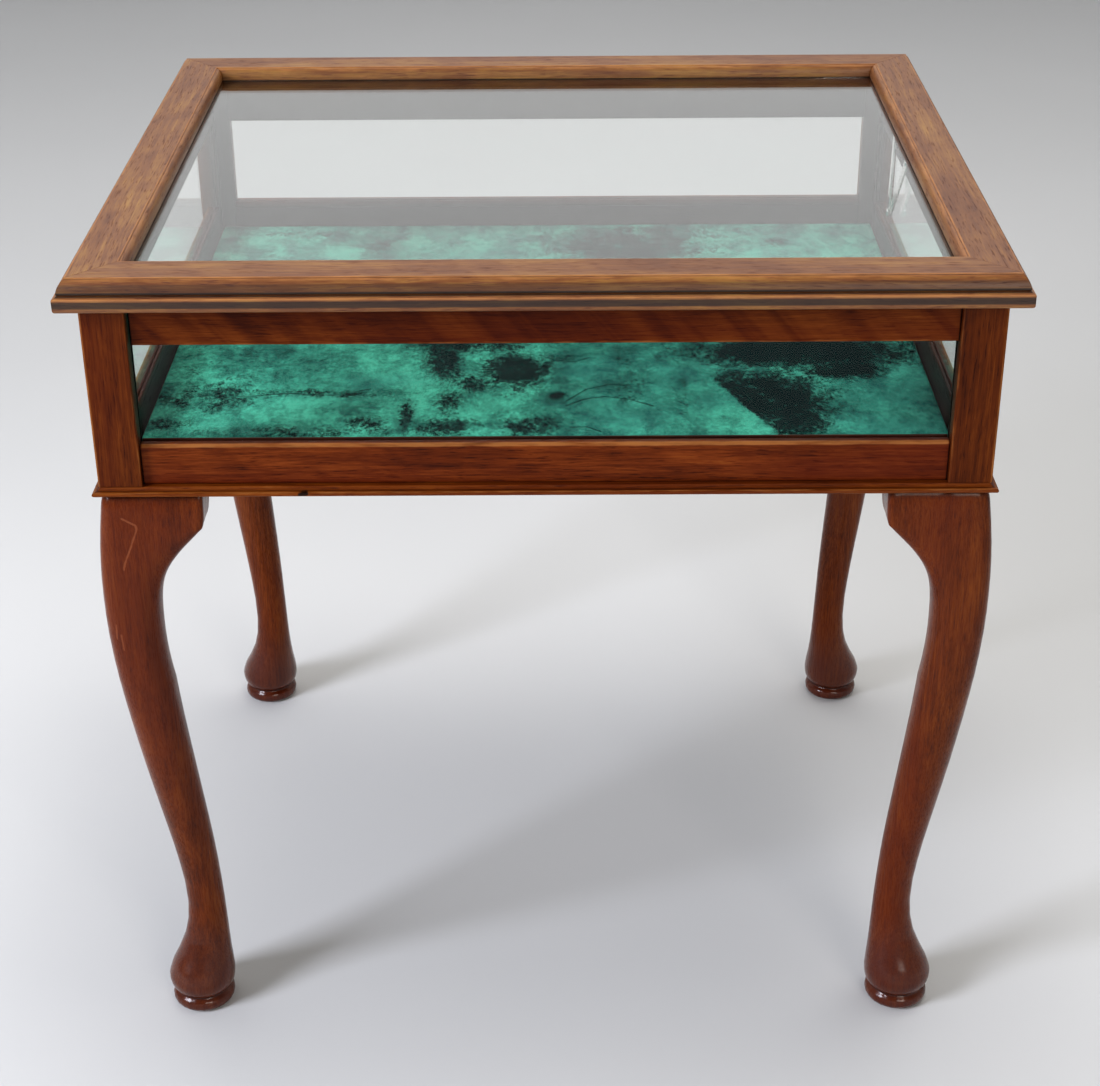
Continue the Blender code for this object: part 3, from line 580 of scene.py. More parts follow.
# %% Case rails, beads and base moulding
post_low, post_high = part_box("post_front_left")
half_x, half_y = -post_low.x, -post_low.y
post_face = post_high.x - post_low.x
GROOVE_DEPTH = 0.004
SHRUNK_END = 0.0016


def depths(node):
    """How far a front node's two faces stand in from the case's front."""
    low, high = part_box(node)
    return low.y + half_y, high.y + half_y, low.z, high.z


def top_rail_section(side):
    near, far, low, high = depths("top_rail_front")
    if side == "back":
        near = half_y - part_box("top_rail_back")[1].y
    glass_near, glass_far = depths("pane_front")[:2]
    outer, inner = glass_near - JOINT_GAP, glass_far + JOINT_GAP
    groove = low + GROOVE_DEPTH
    # Its lower front arris is painted paler, for wear and as a highlight; where its underside meets the pane
    # it is painted darker, as shade.
    return rounded([(near, high, 0.0003, 0.0, 0.0), (near, low, 0.0011, 0.55, 0.0),
                    (outer, low, 0.0, -0.3, 0.3), (outer, groove, 0.0, 0.0, 1.0),
                    (inner, groove, 0.0, 0.0, 1.0), (inner, low, 0.0, 0.0, 1.0),
                    (far, low, 0.0006, 0.15, 1.0), (far, high, 0.0004, 0.1, 1.0)])


def bottom_rail_section():
    near, far, low, high = depths("bottom_rail_front")
    sill = depths("pane_front")[2] - JOINT_GAP
    groove = depths("pane_front")[0] - JOINT_GAP
    # Its lower front arris is painted darker, as shade above the base; its upper front arris paler, for wear
    # and as a highlight.
    return rounded([(near, low, 0.0003, -0.3, 0.0), (far, low, 0.0, 0.0, 1.0), (far, sill, 0.0, 0.0, 1.0),
                    (groove, sill, 0.0, 0.0, 1.0), (groove, high, 0.0005, 0.1, 0.55),
                    (near, high, 0.0017, 0.95, 0.0)], 6)


def pane_bead_section():
    near, far, low, high = depths("pane_bead_front")
    return rounded([(near, low, 0.0, 0.0, 1.0), (far, low, 0.0003, 0.0, 1.0), (far, high, 0.0012, 0.3, 0.75),
                    (near, high, 0.0006, 0.3, 0.75)], 5)


def base_section():
    """A thin lip with a rounded nose, then a shallow slope up to the posts."""
    near, far, low, high = depths("base_moulding_front")
    nose, turns = 0.0014, 12
    points = []
    for k in range(turns + 1):
        a = math.radians(270 - 180 * k / turns)
        # The nose is painted paler, most at its top and underside, for wear and as a highlight.
        worn = 0.75 * math.sin(a) ** 2 + 0.1
        points.append((near + nose + nose * math.cos(a), low + nose + nose * math.sin(a), worn, 0.0))
    # The hollow behind the nose and the back edge under the rail are painted darker, as shade.
    points += [(near + 0.0030, low + 0.0030, -0.6, 0.0), (near + 0.0044, low + 0.0042, 0.25, 0.0)]
    points += [(near + 0.0052, high, 0.15, 0.0), (0.0060, high, -0.4, 0.0)]
    return points + [(far, high, 0.0, 1.0), (far, low, 0.0, 0.6)]


for side in SIDES:
    shy = SHRUNK_END if side == "front" else 0.0
    base_finish = wood_chipped if side == "front" else wood_base
    cut = post_face + JOINT_GAP
    runs = (("case_top_rail_", "top_rail_", top_rail_section(side), wood_rail, cut, shy),
            ("case_bottom_rail_", "bottom_rail_", bottom_rail_section(), wood_case, cut, 0.0),
            ("case_glass_bead_", "pane_bead_", pane_bead_section(), wood_case, cut, 0.0),
            ("case_base_", "base_moulding_", base_section(), base_finish, None, 0.0))
    for piece, node, section, finish, stop, first_end in runs:
        timber(piece + side, node + side, side, section, half_x, half_y, finish,
               "case", stop, first_end)
print("case", round(2000 * half_x, 1), "by", round(2000 * half_y, 1), "mm")

# %% [markdown]
# A corner post is an L in plan, with a groove for each pane. It is the same section idea stood on
# end: the grain runs up, and the outer corner is painted palest, for the wear where hands and cloths
# meet it and as a highlight.

# %% Corner posts
CORNERS = {"front_left": (-1, -1), "front_right": (1, -1), "back_right": (1, 1), "back_left": (-1, 1)}


def post_outline():
    thick = depths("top_rail_front")[1]
    near, far = (d + s * JOINT_GAP for d, s in zip(depths("pane_front")[:2], (-1, 1)))
    floor = post_face - 0.0035
    side = [(0.0, 0.0, 0.0010, 0.8, 0.0), (post_face, 0.0, 0.0008, 0.45, 0.0),
            (post_face, near, 0.0, 0.0, 0.9), (floor, near, 0.0, 0.0, 1.0), (floor, far, 0.0, 0.0, 1.0),
            (post_face, far, 0.0, 0.0, 1.0), (post_face, thick, 0.0003, 0.0, 1.0)]
    other = [(b, a, r, w, n) for a, b, r, w, n in reversed(side[1:])]
    return rounded(side + [(thick, thick, 0.0003, 0.0, 1.0)] + other)


POST_STEPS = 8
for corner, (sign_x, sign_y) in CORNERS.items():
    outline = post_outline()
    rings, board, worn, inner = [], [], [], []
    for k in range(POST_STEPS + 1):
        z = post_low.z + (post_high.z - post_low.z) * k / POST_STEPS
        rings.append([(sign_x * (half_x - a), sign_y * (half_y - b), z) for a, b, _, _ in outline])
        board += [(z, a, b) for a, b, _, _ in outline]
        worn += [w for _, _, w, _ in outline]
        inner += [n for _, _, _, n in outline]
    shift = own_board(0.0, 0.0, 0.0)
    board = [tuple(p + q for p, q in zip(point, shift)) for point in board]
    post = skin_to_object("case_post_" + corner, rings, (board, worn, inner))
    ease_ends(post)
    post.data.materials.append(wood_post)
    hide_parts("post_" + corner)
    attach(post, "case")
print("posts", round(1000 * (post_high.z - post_low.z), 1), "mm tall")

# %% [markdown]
# A cabriole leg is sawn from a square block, then rasped and scraped until no edge is left. The
# packed leg has the right shape in coarse facets, with its two ears set against it. Remeshing it
# to fine even cells and relaxing the surface does what the scraper does: the facets go, while the
# turned disc under the foot keeps its edge. Below the ears the surface is then faired by plain
# averaging, which is stronger, so that each ear runs into the knee without a seam.

# %% Carved legs
LEG_CELL = 0.0013
RELAX_ROUNDS = 300
SHRINK, GROW = 0.62, 0.6346
DISC_TOP = 0.0128
DISC_HOLD = 0.10
BLEND_LOW, BLEND_HIGH = 0.290, 0.418
BLEND_ROUNDS, BLEND_PULL = 260, 0.7


def pull(points, ends, neighbours):
    """The way from each point to the middle of its neighbours."""
    sums = [np.bincount(ends[:, 0], points[ends[:, 1], axis], len(points)) for axis in range(3)]
    return np.stack(sums, 1) / neighbours - points


def relaxed(points, ends, neighbours, free):
    """Moves every point towards the middle of its neighbours, then a little more than back.

    The pair of moves takes out whatever is narrower than about 25 mm and keeps the rest its size.
    """
    for turn in range(RELAX_ROUNDS):
        share = SHRINK if turn % 2 == 0 else -GROW
        points = points + pull(points, ends, neighbours) * share * free[:, None]
    return points


def blended(points, ends, neighbours, depths_in):
    """Fairs the lower end of each ear into the leg, away from the leg's two outer faces."""
    rise = points[:, 2]
    zone = np.clip((rise - BLEND_LOW) / 0.030, 0.0, 1.0) * np.clip((BLEND_HIGH - rise) / 0.022, 0.0, 1.0)
    inside = np.clip((depths_in.max(1) - 0.020) / 0.012, 0.0, 1.0)
    for _ in range(BLEND_ROUNDS):
        points = points + pull(points, ends, neighbours) * (BLEND_PULL * zone * inside)[:, None]
    return points


def relative_depths(points, corner):
    """How far each point stands in from the case's two outer faces at this corner."""
    sign_x, sign_y = CORNERS[corner]
    return np.stack([half_x - sign_x * points[:, 0], half_y - sign_y * points[:, 1]], 1)


def remeshed(node, name):
    made = bpy.data.objects.new(name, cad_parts[node].data.copy())
    bpy.context.scene.collection.objects.link(made)
    made.data.materials.clear()
    weld = made.modifiers.new("weld", "WELD")
    weld.merge_threshold = 0.00002
    cells = made.modifiers.new("cells", "REMESH")
    cells.mode = "VOXEL"
    cells.voxel_size = LEG_CELL
    graph = bpy.context.evaluated_depsgraph_get()
    mesh = bpy.data.meshes.new_from_object(made.evaluated_get(graph))
    made.modifiers.clear()
    made.data = mesh
    return made


def carve_leg(corner):
    leg = remeshed("leg_" + corner, "carved_leg_" + corner)
    mesh = leg.data
    points = np.empty(3 * len(mesh.vertices))
    mesh.vertices.foreach_get("co", points)
    points = points.reshape(-1, 3)
    edges = np.empty(2 * len(mesh.edges), np.int64)
    mesh.edges.foreach_get("vertices", edges)
    edges = edges.reshape(-1, 2)
    ends = np.concatenate([edges, edges[:, ::-1]])
    neighbours = np.bincount(ends[:, 0], minlength=len(points))[:, None]
    rise, top = points[:, 2], points[:, 2].max()
    free = np.clip((rise - DISC_TOP) / 0.006, DISC_HOLD, 1.0) * np.clip((top - rise) / 0.0015, 0.0, 1.0)
    free = np.where(rise < 0.0012, 0.0, free)
    smooth = relaxed(points, ends, neighbours, free)
    smooth = blended(smooth, ends, neighbours, relative_depths(points, corner))
    smooth = np.clip(smooth, points.min(0), points.max(0))
    mesh.vertices.foreach_set("co", smooth.ravel())
    mesh.update()
    rise = smooth[:, 2]
    board = np.stack(own_board(rise, *relative_depths(smooth, corner).T), 1)
    # Painted shade: a dark line in the groove above the disc, and a darkening at the top of the leg where it
    # meets the moulding, both carried by worn.
    groove = np.exp(-((rise - DISC_TOP + 0.0008) / 0.0011) ** 2)
    painted_top_shade = np.exp(-((top - rise) / 0.0030))
    paint_attributes(mesh, board, -0.9 * groove - 1.1 * painted_top_shade, np.zeros(len(smooth)))
    mesh.shade_smooth()
    mesh.materials.append(wood_scratched if corner == "front_left" else wood_leg)
    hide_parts("leg_" + corner)
    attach(leg, "case")
    return leg


for corner in CORNERS:
    leg = carve_leg(corner)
    print(leg.name, len(leg.data.polygons), "faces")

# %% [markdown]
# The velvet is one cut of cloth laid over a thin pad and turned down its edges. Its pile has been
# pressed by what stood on it, so light patches where the pile stands lie beside nearly black ones
# where it is crushed. A fine grid with a soft, slightly uneven surface carries it, rolled over at
# the rim, and the pad's board shows as a thin edge below.

# %% Velvet cloth and its board
pad_low, pad_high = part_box("velvet_pad")
PILE = 0.0011
ROLL = 0.0011
CLOTH_CELLS = (220, 182)
SKIRT_CLEARANCE = 0.0004


def cloth_height(x, y):
    """Slack in the cloth, a fraction of a millimetre."""
    slow = noise.noise(Vector((x * 14, y * 14, 1.7))) + 0.5 * noise.noise(Vector((x * 45, y * 38, 5.1)))
    return -0.00022 + 0.00022 * max(-1.0, min(1.0, slow))


def lay_velvet():
    """Top grid plus three rows rolled over each edge and down the side of the pad."""
    half = ((pad_high.x - pad_low.x) / 2, (pad_high.y - pad_low.y) / 2)
    turns = [math.radians(a) for a in (90, 60, 30, 0)]
    skirt = [(ROLL * (1 - math.sin(a)), ROLL * (1 - math.cos(a))) for a in turns]
    fall = pad_high.z - pad_low.z - SKIRT_CLEARANCE

    def lines(reach, cells):
        inside = [(-1 + 2 * i / cells) * (reach - ROLL) for i in range(cells + 1)]
        rolled = [(reach - inset, drop) for inset, drop in reversed(skirt[:-1])]
        rolled.append((reach, fall))
        left = [(-place, drop) for place, drop in reversed(rolled[1:])]
        right = [(place, drop) for place, drop in rolled[1:]]
        return left + [(place, 0.0) for place in inside] + right

    xs, ys = lines(half[0], CLOTH_CELLS[0]), lines(half[1], CLOTH_CELLS[1])
    builder = bmesh.new()
    grid = []
    for x, drop_x in xs:
        row = []
        for y, drop_y in ys:
            drop = max(drop_x, drop_y)
            lift = cloth_height(x, y) if drop == 0 else 0.0
            row.append(builder.verts.new((x, y, pad_high.z - drop + lift)))
        grid.append(row)
    for a, b in zip(grid, grid[1:]):
        for i in range(len(a) - 1):
            builder.faces.new((a[i], b[i], b[i + 1], a[i + 1]))
    flattened = [crushing(v.co.x, v.co.y) for v in builder.verts]
    mesh = bpy.data.meshes.new("velvet_cloth")
    bmesh.ops.recalc_face_normals(builder, faces=builder.faces)
    if sum(f.normal.z for f in builder.faces) < 0:
        bmesh.ops.reverse_faces(builder, faces=builder.faces)
    area = sum(f.calc_area() for f in builder.faces)
    builder.to_mesh(mesh)
    builder.free()
    mesh.attributes.new("crushed", "FLOAT", "POINT").data.foreach_set("value", flattened)
    mesh.shade_smooth()
    cloth = bpy.data.objects.new("velvet_cloth", mesh)
    bpy.context.scene.collection.objects.link(cloth)
    thick = cloth.modifiers.new("pile", "SOLIDIFY")
    thick.thickness = PILE
    thick.offset = -1.0
    return cloth, (2 * (half[0] + fall), 2 * (half[1] + fall)), area


# Where the pile is crushed: centre, half sizes and lean of each place, and how flat the pile lies
CRUSHED = (
    ((-0.238, -0.118), (0.036, 0.022), 8, 0.72), ((-0.262, -0.161), (0.014, 0.009), 0, 0.80),
    ((-0.167, -0.112), (0.055, 0.006), -2, 0.70), ((-0.232, -0.066), (0.036, 0.040), 20, 0.42),
    ((-0.170, -0.176), (0.070, 0.009), 0, 0.68), ((-0.125, -0.162), (0.012, 0.012), 0, 0.72),
    ((-0.096, -0.156), (0.005, 0.026), 0, 0.88), ((-0.072, -0.169), (0.022, 0.013), 0, 0.78),
    ((-0.074, -0.058), (0.013, 0.030), 10, 0.98), ((-0.055, -0.024), (0.036, 0.016), 0, 0.95),
    ((-0.022, -0.073), (0.019, 0.028), 0, 1.05), ((-0.050, -0.095), (0.012, 0.015), -30, 0.88),
    ((-0.067, -0.128), (0.008, 0.018), 0, 0.86), ((-0.010, -0.168), (0.020, 0.014), 0, 0.85),
    ((0.007, -0.118), (0.005, 0.005), 0, 1.10), ((0.061, -0.094), (0.014, 0.032), 0, 0.60),
    ((0.060, -0.060), (0.010, 0.020), 20, 0.50), ((0.192, -0.040), (0.066, 0.026), 0, 1.15),
    ((0.216, -0.072), (0.026, 0.018), 0, 1.05), ((0.140, -0.088), (0.030, 0.012), 8, 0.85),
    ((0.155, -0.125), (0.040, 0.040), 0, 1.10), ((0.172, -0.160), (0.020, 0.030), 0, 0.95),
    ((0.010, -0.050), (0.024, 0.008), -12, 0.52), ((-0.199, 0.208), (0.032, 0.012), 0, 0.62),
    ((-0.138, 0.182), (0.013, 0.020), -20, 0.70), ((0.064, 0.172), (0.056, 0.032), 0, 0.98),
    ((0.080, 0.208), (0.062, 0.014), 0, 0.72), ((0.144, 0.196), (0.010, 0.006), 0, 0.72),
    ((0.190, 0.182), (0.009, 0.009), 0, 0.72), ((-0.100, 0.060), (0.050, 0.030), 15, 0.75),
    ((0.120, 0.070), (0.060, 0.024), -10, 0.70), ((-0.215, 0.110), (0.030, 0.045), 0, 0.60),
)
# A box stood here with its corner to the front: the pile is crushed behind this line, crisp at the edge
CORNER_EDGE = ((0.1195, -0.0925), (0.1562, -0.1812))
# Creases left by folds, as thin dark lines
CREASES = (
    ((0.0154, -0.1272), (0.0294, -0.1073), (0.0444, -0.0997), (0.0575, -0.1008)),
    ((0.0144, -0.1360), (0.0274, -0.1243), (0.0422, -0.1200), (0.0586, -0.1247), (0.0747, -0.1359)),
    ((-0.0044, -0.0459), (0.0072, -0.0557), (0.0205, -0.0583), (0.0311, -0.0512)),
    ((0.0179, -0.1704), (0.0286, -0.1696), (0.0374, -0.1769)),
    ((0.2274, -0.0368), (0.2518, -0.0420), (0.2598, -0.0397)),
    ((0.2472, -0.0541), (0.2434, -0.0778)),
    ((-0.2450, -0.1150), (-0.2088, -0.1164), (-0.1797, -0.1123), (-0.1497, -0.1154), (-0.1246, -0.1053)),
)


def crushing(x, y):
    """How flat the pile lies at one place, from 0 to about 1."""
    most = 0.0
    for (cx, cy), (sx, sy), lean, strength in CRUSHED:
        c, s = math.cos(math.radians(lean)), math.sin(math.radians(lean))
        dx, dy = x - cx, y - cy
        far = math.hypot((c * dx + s * dy) / sx, (c * dy - s * dx) / sy)
        most = max(most, strength * max(0.0, min(1.0, 1.35 - 0.6 * far)))
    (ax, ay), (bx, by) = CORNER_EDGE
    beside = ((x - ax) * (by - ay) - (y - ay) * (bx - ax)) / math.hypot(bx - ax, by - ay)
    if y < -0.08 and x < 0.20:
        most *= max(0.0, min(1.0, 0.5 - beside / 0.004)) if x > 0.10 else 1.0
    return most


def velvet_inputs(new):
    here = new.node("TexCoord", None, None, out=3)
    crushed = new.node("Attribute", {"attribute_name": "crushed"}, None, out=2)
    warping = {"Vector": here, "Scale": 30.0, "Detail": 5.0, "Roughness": 0.65}
    warp = new.node("TexNoise", None, warping, out=1)
    bent = here + (warp - (0.5, 0.5, 0.5)) * (0.014, 0.012, 0.0)
    bent_little = (here + (warp - (0.5, 0.5, 0.5)) * (0.004, 0.004, 0.0)) * (1.0, 1.0, 0.0)
    ragged = cloud(bent, (62.0, 50.0, 1.0), 10.0, 0.76)
    brushed = cloud(bent, (30.0, 15.0, 1.0), 8.0, 0.70)
    mottle = cloud(bent, (22.0, 26.0, 1.0), 8.0, 0.72)
    fine = cloud(here, (420.0, 260.0, 1.0), 4.0, 0.72)
    fleck = cloud(here, 1100.0, 2.0, 0.7)
    flat = step(crushed * 1.15 + (ragged - 0.5) * 2.2 + (fine - 0.5) * 1.4 + (fleck - 0.5) * 0.6, 0.54, 1.10)
    shaded = step(crushed + (mottle - 0.5) * 2.4 + (fine - 0.5) * 0.8, 0.14, 1.00) * 0.55
    for points in CREASES:
        crease = line_mask(bent_little, [(x, y, 0.0) for x, y in points], 0.0018, 0.70, ragged)
        flat = flat.node("Math", {"operation": "MAXIMUM"}, {0: flat, 1: crease})
    loose = step(brushed * 0.5 + mottle * 0.5, 0.38, 0.66) * 0.95
    loose = loose + (fine - 0.5) * 1.1 + (fleck - 0.5) * 0.6
    tones = [(0.0, colour(0.078, 0.405, 0.290)), (1.0, colour(0.007, 0.045, 0.038)),
             (0.28, colour(0.046, 0.262, 0.190)), (0.60, colour(0.026, 0.158, 0.120))]
    pile = loose.node("ValToRGB", {"stops": tones}, {0: loose})
    bluish = step(cloud(bent, (6.0, 9.0, 1.0), 2.0), 0.45, 0.68) * 0.35
    pile = blend(bluish, pile, colour(0.024, 0.155, 0.145))
    pile = blend(shaded, pile, colour(0.0085, 0.062, 0.050))
    cloth = blend(flat * 0.97, pile, colour(0.0010, 0.0045, 0.0055))
    nap = fleck * 0.5 + fine * 0.8 + ragged * 0.8 - flat * 0.8
    return {"Base Color": cloth, "Roughness": 0.95, "Specular IOR Level": 0.03, "Sheen Weight": 0.02,
            "Sheen Roughness": 0.35, "Sheen Tint": colour(0.30, 0.85, 0.62), "Normal": bump(nap, 0.0008, 0.6)}


velvet, velvet_flat, velvet_area = lay_velvet()
velvet.data.materials.append(finish_material("green_velvet", velvet_inputs))


def stained_board_inputs(new):
    """Board stained nearly black, so that no pale edge shows beside the cloth."""
    here = new.node("TexCoord", None, None, out=3)
    veins = cloud(here, (9.0, 160.0, 160.0), 4.0, 0.6, 0.5)
    layers = {"Vector": here, "Scale": 260.0, "Distortion": 0.6}
    plies = here.node("TexWave", {"bands_direction": "Z"}, layers)
    sheet = blend(step(veins, 0.3, 0.7), colour(0.016, 0.009, 0.006), colour(0.034, 0.020, 0.012))
    sheet = blend(plies.node("Math", {"operation": "MULTIPLY"}, {0: plies, 1: 0.25}), sheet,
                  colour(0.012, 0.007, 0.005))
    return {"Base Color": sheet, "Roughness": 0.72, "Normal": bump(veins, 0.0002, 0.5)}


plywood = finish_material("plywood", stained_board_inputs)


def flat_board(name, low, high, radius):
    """A sheet of board with eased edges."""
    builder = bmesh.new()
    bmesh.ops.create_cube(builder, size=1.0)
    size, centre = Vector(high) - Vector(low), (Vector(high) + Vector(low)) / 2
    bmesh.ops.scale(builder, vec=size, verts=builder.verts)
    bmesh.ops.translate(builder, vec=centre, verts=builder.verts)
    bmesh.ops.bevel(builder, geom=builder.edges[:], offset=radius, segments=2, affect="EDGES", profile=0.5)
    return object_from(builder, name)


board_top = pad_high.z - PILE - 0.0008
board_inset = PILE + 0.0006
pad_board = flat_board("velvet_pad_board", (pad_low.x + board_inset, pad_low.y + board_inset, pad_low.z),
                       (pad_high.x - board_inset, pad_high.y - board_inset, board_top), 0.0003)
pad_board.data.materials.append(plywood)
for piece, slot in ((velvet, "velvet"), (pad_board, "plywood")):
    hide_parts("velvet_pad")
    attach(piece, "case")
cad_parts["floor_board"].data.materials.clear()
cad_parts["floor_board"].data.materials.append(plywood)
print("velvet", [round(1000 * v, 1) for v in velvet_flat], "mm flat, area", round(velvet_area, 4))

# %% [markdown]
# Float glass is clear, with a faint green that only shows where light crosses much of it, and a
# little dust and wiping haze that catches light. Real glass lets lamp light through to what is
# behind, which a path tracer finds too seldom, so for shadow rays and diffuse rays the pane
# counts as transparent. A film of dust is mixed in by a cloud, at a percent or two.

# %% Glass
def glass_material(name, tint, haze, ior):
    def inputs(new):
        here = new.node("TexCoord", None, None, out=3)
        solid = {"Base Color": tint, "Roughness": 0.0, "IOR": ior, "Transmission Weight": 1.0}
        pane = new.node("BsdfPrincipled", None, solid)
        smear = step(cloud(here, (5.0, 12.0, 9.0), 5.0, 0.65), 0.45, 0.8) * haze
        dust = new.node("BsdfDiffuse", None, {"Color": colour(0.8, 0.8, 0.78)})
        dusty = new.node("MixShader", None, {0: smear, 1: pane, 2: dust})
        clear = new.node("BsdfTransparent", None, {"Color": colour(0.97, 0.985, 0.975)})
        path = new.node("LightPath", None, None, out=1)
        diffuse = Wire(new.tree, path.socket.node.outputs[2])
        through = path.node("Math", {"operation": "MAXIMUM"}, {0: path, 1: diffuse})
        return new.node("MixShader", None, {0: through, 1: dusty, 2: clear})

    return finish_material(name, inputs)


GLASS_TINT = colour(0.975, 0.99, 0.982)
lid_glass = glass_material("lid_glass", GLASS_TINT, haze=0.012, ior=1.5)
pane_glass = glass_material("pane_glass", GLASS_TINT, haze=0.003, ior=1.2)
for name, finish in [("lid_glass", lid_glass)] + [("pane_" + side, pane_glass) for side in SIDES]:
    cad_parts[name].data.materials.clear()
    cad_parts[name].data.materials.append(finish)
print("five panes")

# %% [markdown]
# The fittings are small stock pieces: brass hinges at the back with steel screws, and a nickel
# stay inside the right-hand rail. The leaves and arms keep the shapes of the imported model, and the
# finishes add the brushing and patches of tarnish. Screws and pivots are turned again with soft
# heads, and a slot is cut across each screw.

# %% Metals
def metal(name, bright, dull_colour, shine, brushed):
    def inputs(new):
        here = new.node("TexCoord", None, None, out=3)
        tarnish = step(cloud(here, 130.0, 4.0, 0.6), 0.42, 0.72)
        lines = cloud(here, brushed, 2.0)
        surface = blend(tarnish * 0.6, bright, dull_colour)
        worn = shine + tarnish * 0.18 + lines * 0.12
        brushing = bump(lines, 0.00005, 0.35)
        return {"Base Color": surface, "Metallic": 1.0, "Roughness": worn, "Normal": brushing}

    return finish_material(name, inputs)


brass = metal("brass", colour(0.78, 0.56, 0.25), colour(0.36, 0.23, 0.10), 0.20, (300.0, 2500.0, 2500.0))
steel = metal("steel", colour(0.62, 0.60, 0.57), colour(0.30, 0.27, 0.24), 0.24, (1800.0, 1800.0, 1800.0))
nickel = metal("nickel", colour(0.80, 0.79, 0.76), colour(0.52, 0.50, 0.46), 0.12, (1500.0, 400.0, 400.0))


for name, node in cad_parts.items():
    finish = None
    if name.startswith("hinge_"):
        finish = steel if "screw" in name else brass
    elif name.startswith("stay_"):
        finish = nickel
    if finish:
        node.data.materials.clear()
        node.data.materials.append(finish)
print("brass, steel and nickel")

# %% Screws and pivots
HEAD_SIDES = 32
SLOT_WIDTH, SLOT_DEPTH, SLOT_TURN = 0.0006, 0.0005, 0.6


def turned_piece(name, face, way, profile):
    """A piece turned about the line from face along way, from (radius, reach) pairs."""
    across = way.orthogonal().normalized()
    third = way.cross(across)
    turns = [2 * math.pi * i / HEAD_SIDES for i in range(HEAD_SIDES)]
    builder = bmesh.new()
    rings = []
    for radius, reach in profile:
        ring = [(across * math.cos(turn) + third * math.sin(turn)) * radius for turn in turns]
        rings.append([builder.verts.new(face + way * reach + spoke) for spoke in ring])
    for near, far in zip(rings, rings[1:]):
        for i in range(HEAD_SIDES):
            j = (i + 1) % HEAD_SIDES
            builder.faces.new((near[i], near[j], far[j], far[i]))
    builder.faces.new(rings[0])
    builder.faces.new(rings[-1])
    bmesh.ops.recalc_face_normals(builder, faces=builder.faces)
    return object_from(builder, name)


def cut_slot(screw, face, way, radius):
    """Cuts a screwdriver slot across the head, turned a little out of line as a driven screw is."""
    across = way.orthogonal().normalized()
    axes = Matrix((across, way.cross(across), way)).transposed().to_4x4()
    place = Matrix.Translation(face) @ axes @ Matrix.Rotation(SLOT_TURN, 4, "Z")
    size = Matrix.Diagonal((3 * radius, SLOT_WIDTH, 2 * SLOT_DEPTH, 1.0))
    builder = bmesh.new()
    bmesh.ops.create_cube(builder, size=1.0, matrix=place @ size)
    cutter = object_from(builder, "slot")
    cut = screw.modifiers.new("slot", "BOOLEAN")
    cut.object = cutter
    graph = bpy.context.evaluated_depsgraph_get()
    mesh = bpy.data.meshes.new_from_object(screw.evaluated_get(graph))
    screw.modifiers.clear()
    screw.data = mesh
    bpy.data.objects.remove(cutter)


def screw_from(name, body):
    """Case screws are driven forward into the top rail, lid screws up into the lid."""
    low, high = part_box(name)
    middle = (low + high) / 2
    radius = (high.x - low.x) / 2
    if body == "case":
        face, way = Vector((middle.x, high.y, middle.z)), Vector((0.0, -1.0, 0.0))
        long = high.y - low.y
    else:
        face, way = Vector((middle.x, middle.y, low.z)), Vector((0.0, 0.0, 1.0))
        long = high.z - low.z
    profile = [(radius * 0.50, 0.0), (radius * 0.80, 0.0001), (radius * 0.97, 0.0003), (radius, 0.0006),
               (radius * 0.5, 0.0016), (radius * 0.45, long * 0.85), (radius * 0.1, long)]
    screw = turned_piece(name + "_turned", face, way, profile)
    cut_slot(screw, face, way, radius)
    return screw


def pivot_from(name):
    """A domed head on the inner side, and a shank outward."""
    low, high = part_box(name)
    middle = (low + high) / 2
    long, radius = high.x - low.x, (high.z - low.z) / 2
    profile = [(radius * 0.16, 0.0), (radius * 0.45, 0.0001), (radius * 0.75, 0.0004),
               (radius * 0.93, 0.0008), (radius, 0.0010), (radius, 0.00115), (radius * 0.5, 0.0012),
               (radius * 0.5, long)]
    face, way = Vector((low.x, middle.y, middle.z)), Vector((1.0, 0.0, 0.0))
    return turned_piece(name + "_turned", face, way, profile)


turned_count = 0
for name in sorted(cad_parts):
    is_screw = "screw" in name
    if not is_screw and not name.endswith(("pivot", "rivet")):
        continue
    body = "case" if name.startswith(("hinge_case", "stay_case")) else "lid"
    piece = screw_from(name, body) if is_screw else pivot_from(name)
    piece.data.materials.append(steel if is_screw else nickel)
    piece.data.shade_smooth()
    piece.data.set_sharp_from_angle(angle=math.radians(50))
    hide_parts(name)
    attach(piece, "lid_arm" if name.endswith("rivet") else body)
    turned_count += 1
print(turned_count, "turned screws and pivots")

# %% [markdown]
# Soft light from large panels: one overhead, one cooler from the front left that draws the glow on
# knees and feet, and one low fill from the right. The overhead one is left out of reflections, so
# that the lid's glass doesn't mirror it from above. The sky of the studio is bright behind the
# table, which is what veils the glass seen from the front.

# %% Light
def softbox(name, place, aim, size, power, tint):
    lamp = bpy.data.lights.new(name, "AREA")
    lamp.shape = "RECTANGLE"
    lamp.size, lamp.size_y = size
    lamp.energy = power
    lamp.color = tint
    made = bpy.data.objects.new(name, lamp)
    made.location = place
    made.rotation_euler = (Vector(aim) - Vector(place)).to_track_quat("-Z", "Y").to_euler()
    bpy.context.scene.collection.objects.link(made)
    return made


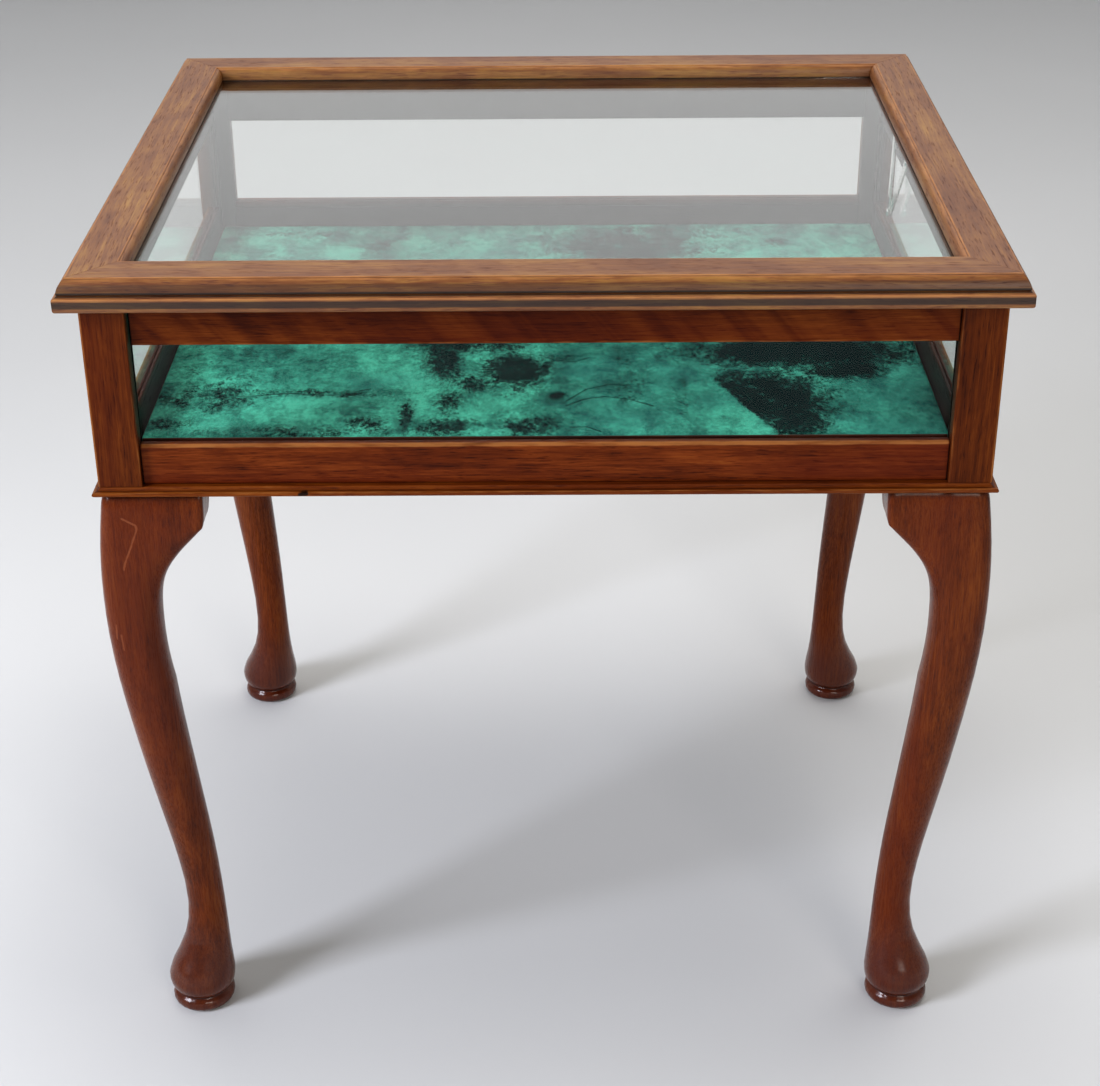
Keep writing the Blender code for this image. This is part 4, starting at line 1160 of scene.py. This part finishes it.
MIDDLE = (0.0, 0.0, 0.35)
overhead = softbox("overhead", (0.2, 0.3, 2.9), MIDDLE, (1.8, 1.4), 36.0, (1.0, 0.985, 0.96))
overhead.visible_glossy = False
softbox("window", (-2.3, -1.5, 1.75), MIDDLE, (0.9, 1.3), 78.0, (0.84, 0.88, 1.0))
softbox("fill", (1.2, -3.0, 1.6), MIDDLE, (1.2, 1.2), 22.0, (1.0, 0.95, 0.88))

world = bpy.data.worlds.new("studio_sky")
bpy.context.scene.world = world
world.use_nodes = True
world.node_tree.nodes.clear()
sky = Wire(world.node_tree)
way = sky.node("TexCoord", None, None, out=0)
parts = way.node("SeparateXYZ", None, {0: way})
up = Wire(world.node_tree, parts.socket.node.outputs[2])
back = Wire(world.node_tree, parts.socket.node.outputs[1])
glow = step(back, -0.3, 0.8, 0.20, 0.92) * step(up, 0.20, 0.75, 1.0, 0.85)
air = sky.node("Background", None, {"Color": colour(1.0, 1.0, 1.0), "Strength": glow})
sky.node("OutputWorld", None, {"Surface": air})
print("three softboxes and a sky")

# %% [markdown]
# The camera stands in front of the table, a little above the lid, and looks down at it through a
# portrait lens.

# %% Camera
camera_data = bpy.data.cameras.new("camera")
camera_data.sensor_width = 36.0
camera_data.lens = 69.05
CAMERA_PLACE = (0.01007, -1.47766, 1.07039)
camera = bpy.data.objects.new("camera", camera_data)
yaw, pitch, roll = (math.radians(a) for a in (-0.325, 28.3175, -0.435))
ahead = Vector((math.sin(yaw) * math.cos(pitch), math.cos(yaw) * math.cos(pitch), -math.sin(pitch)))
level = Vector((math.cos(yaw), -math.sin(yaw), 0.0))
upward = level.cross(ahead)
right = math.cos(roll) * level + math.sin(roll) * upward
upright = math.cos(roll) * upward - math.sin(roll) * level
facing = Matrix((right, upright, -ahead)).transposed().to_4x4()
camera.matrix_world = Matrix.Translation(CAMERA_PLACE) @ facing
bpy.context.scene.collection.objects.link(camera)
bpy.context.scene.camera = camera
bpy.context.scene.view_settings.view_transform = "Standard"
bpy.context.scene.view_settings.look = "Medium High Contrast"
bpy.context.scene.cycles.transmission_bounces = 14
bpy.context.scene.cycles.transparent_max_bounces = 16
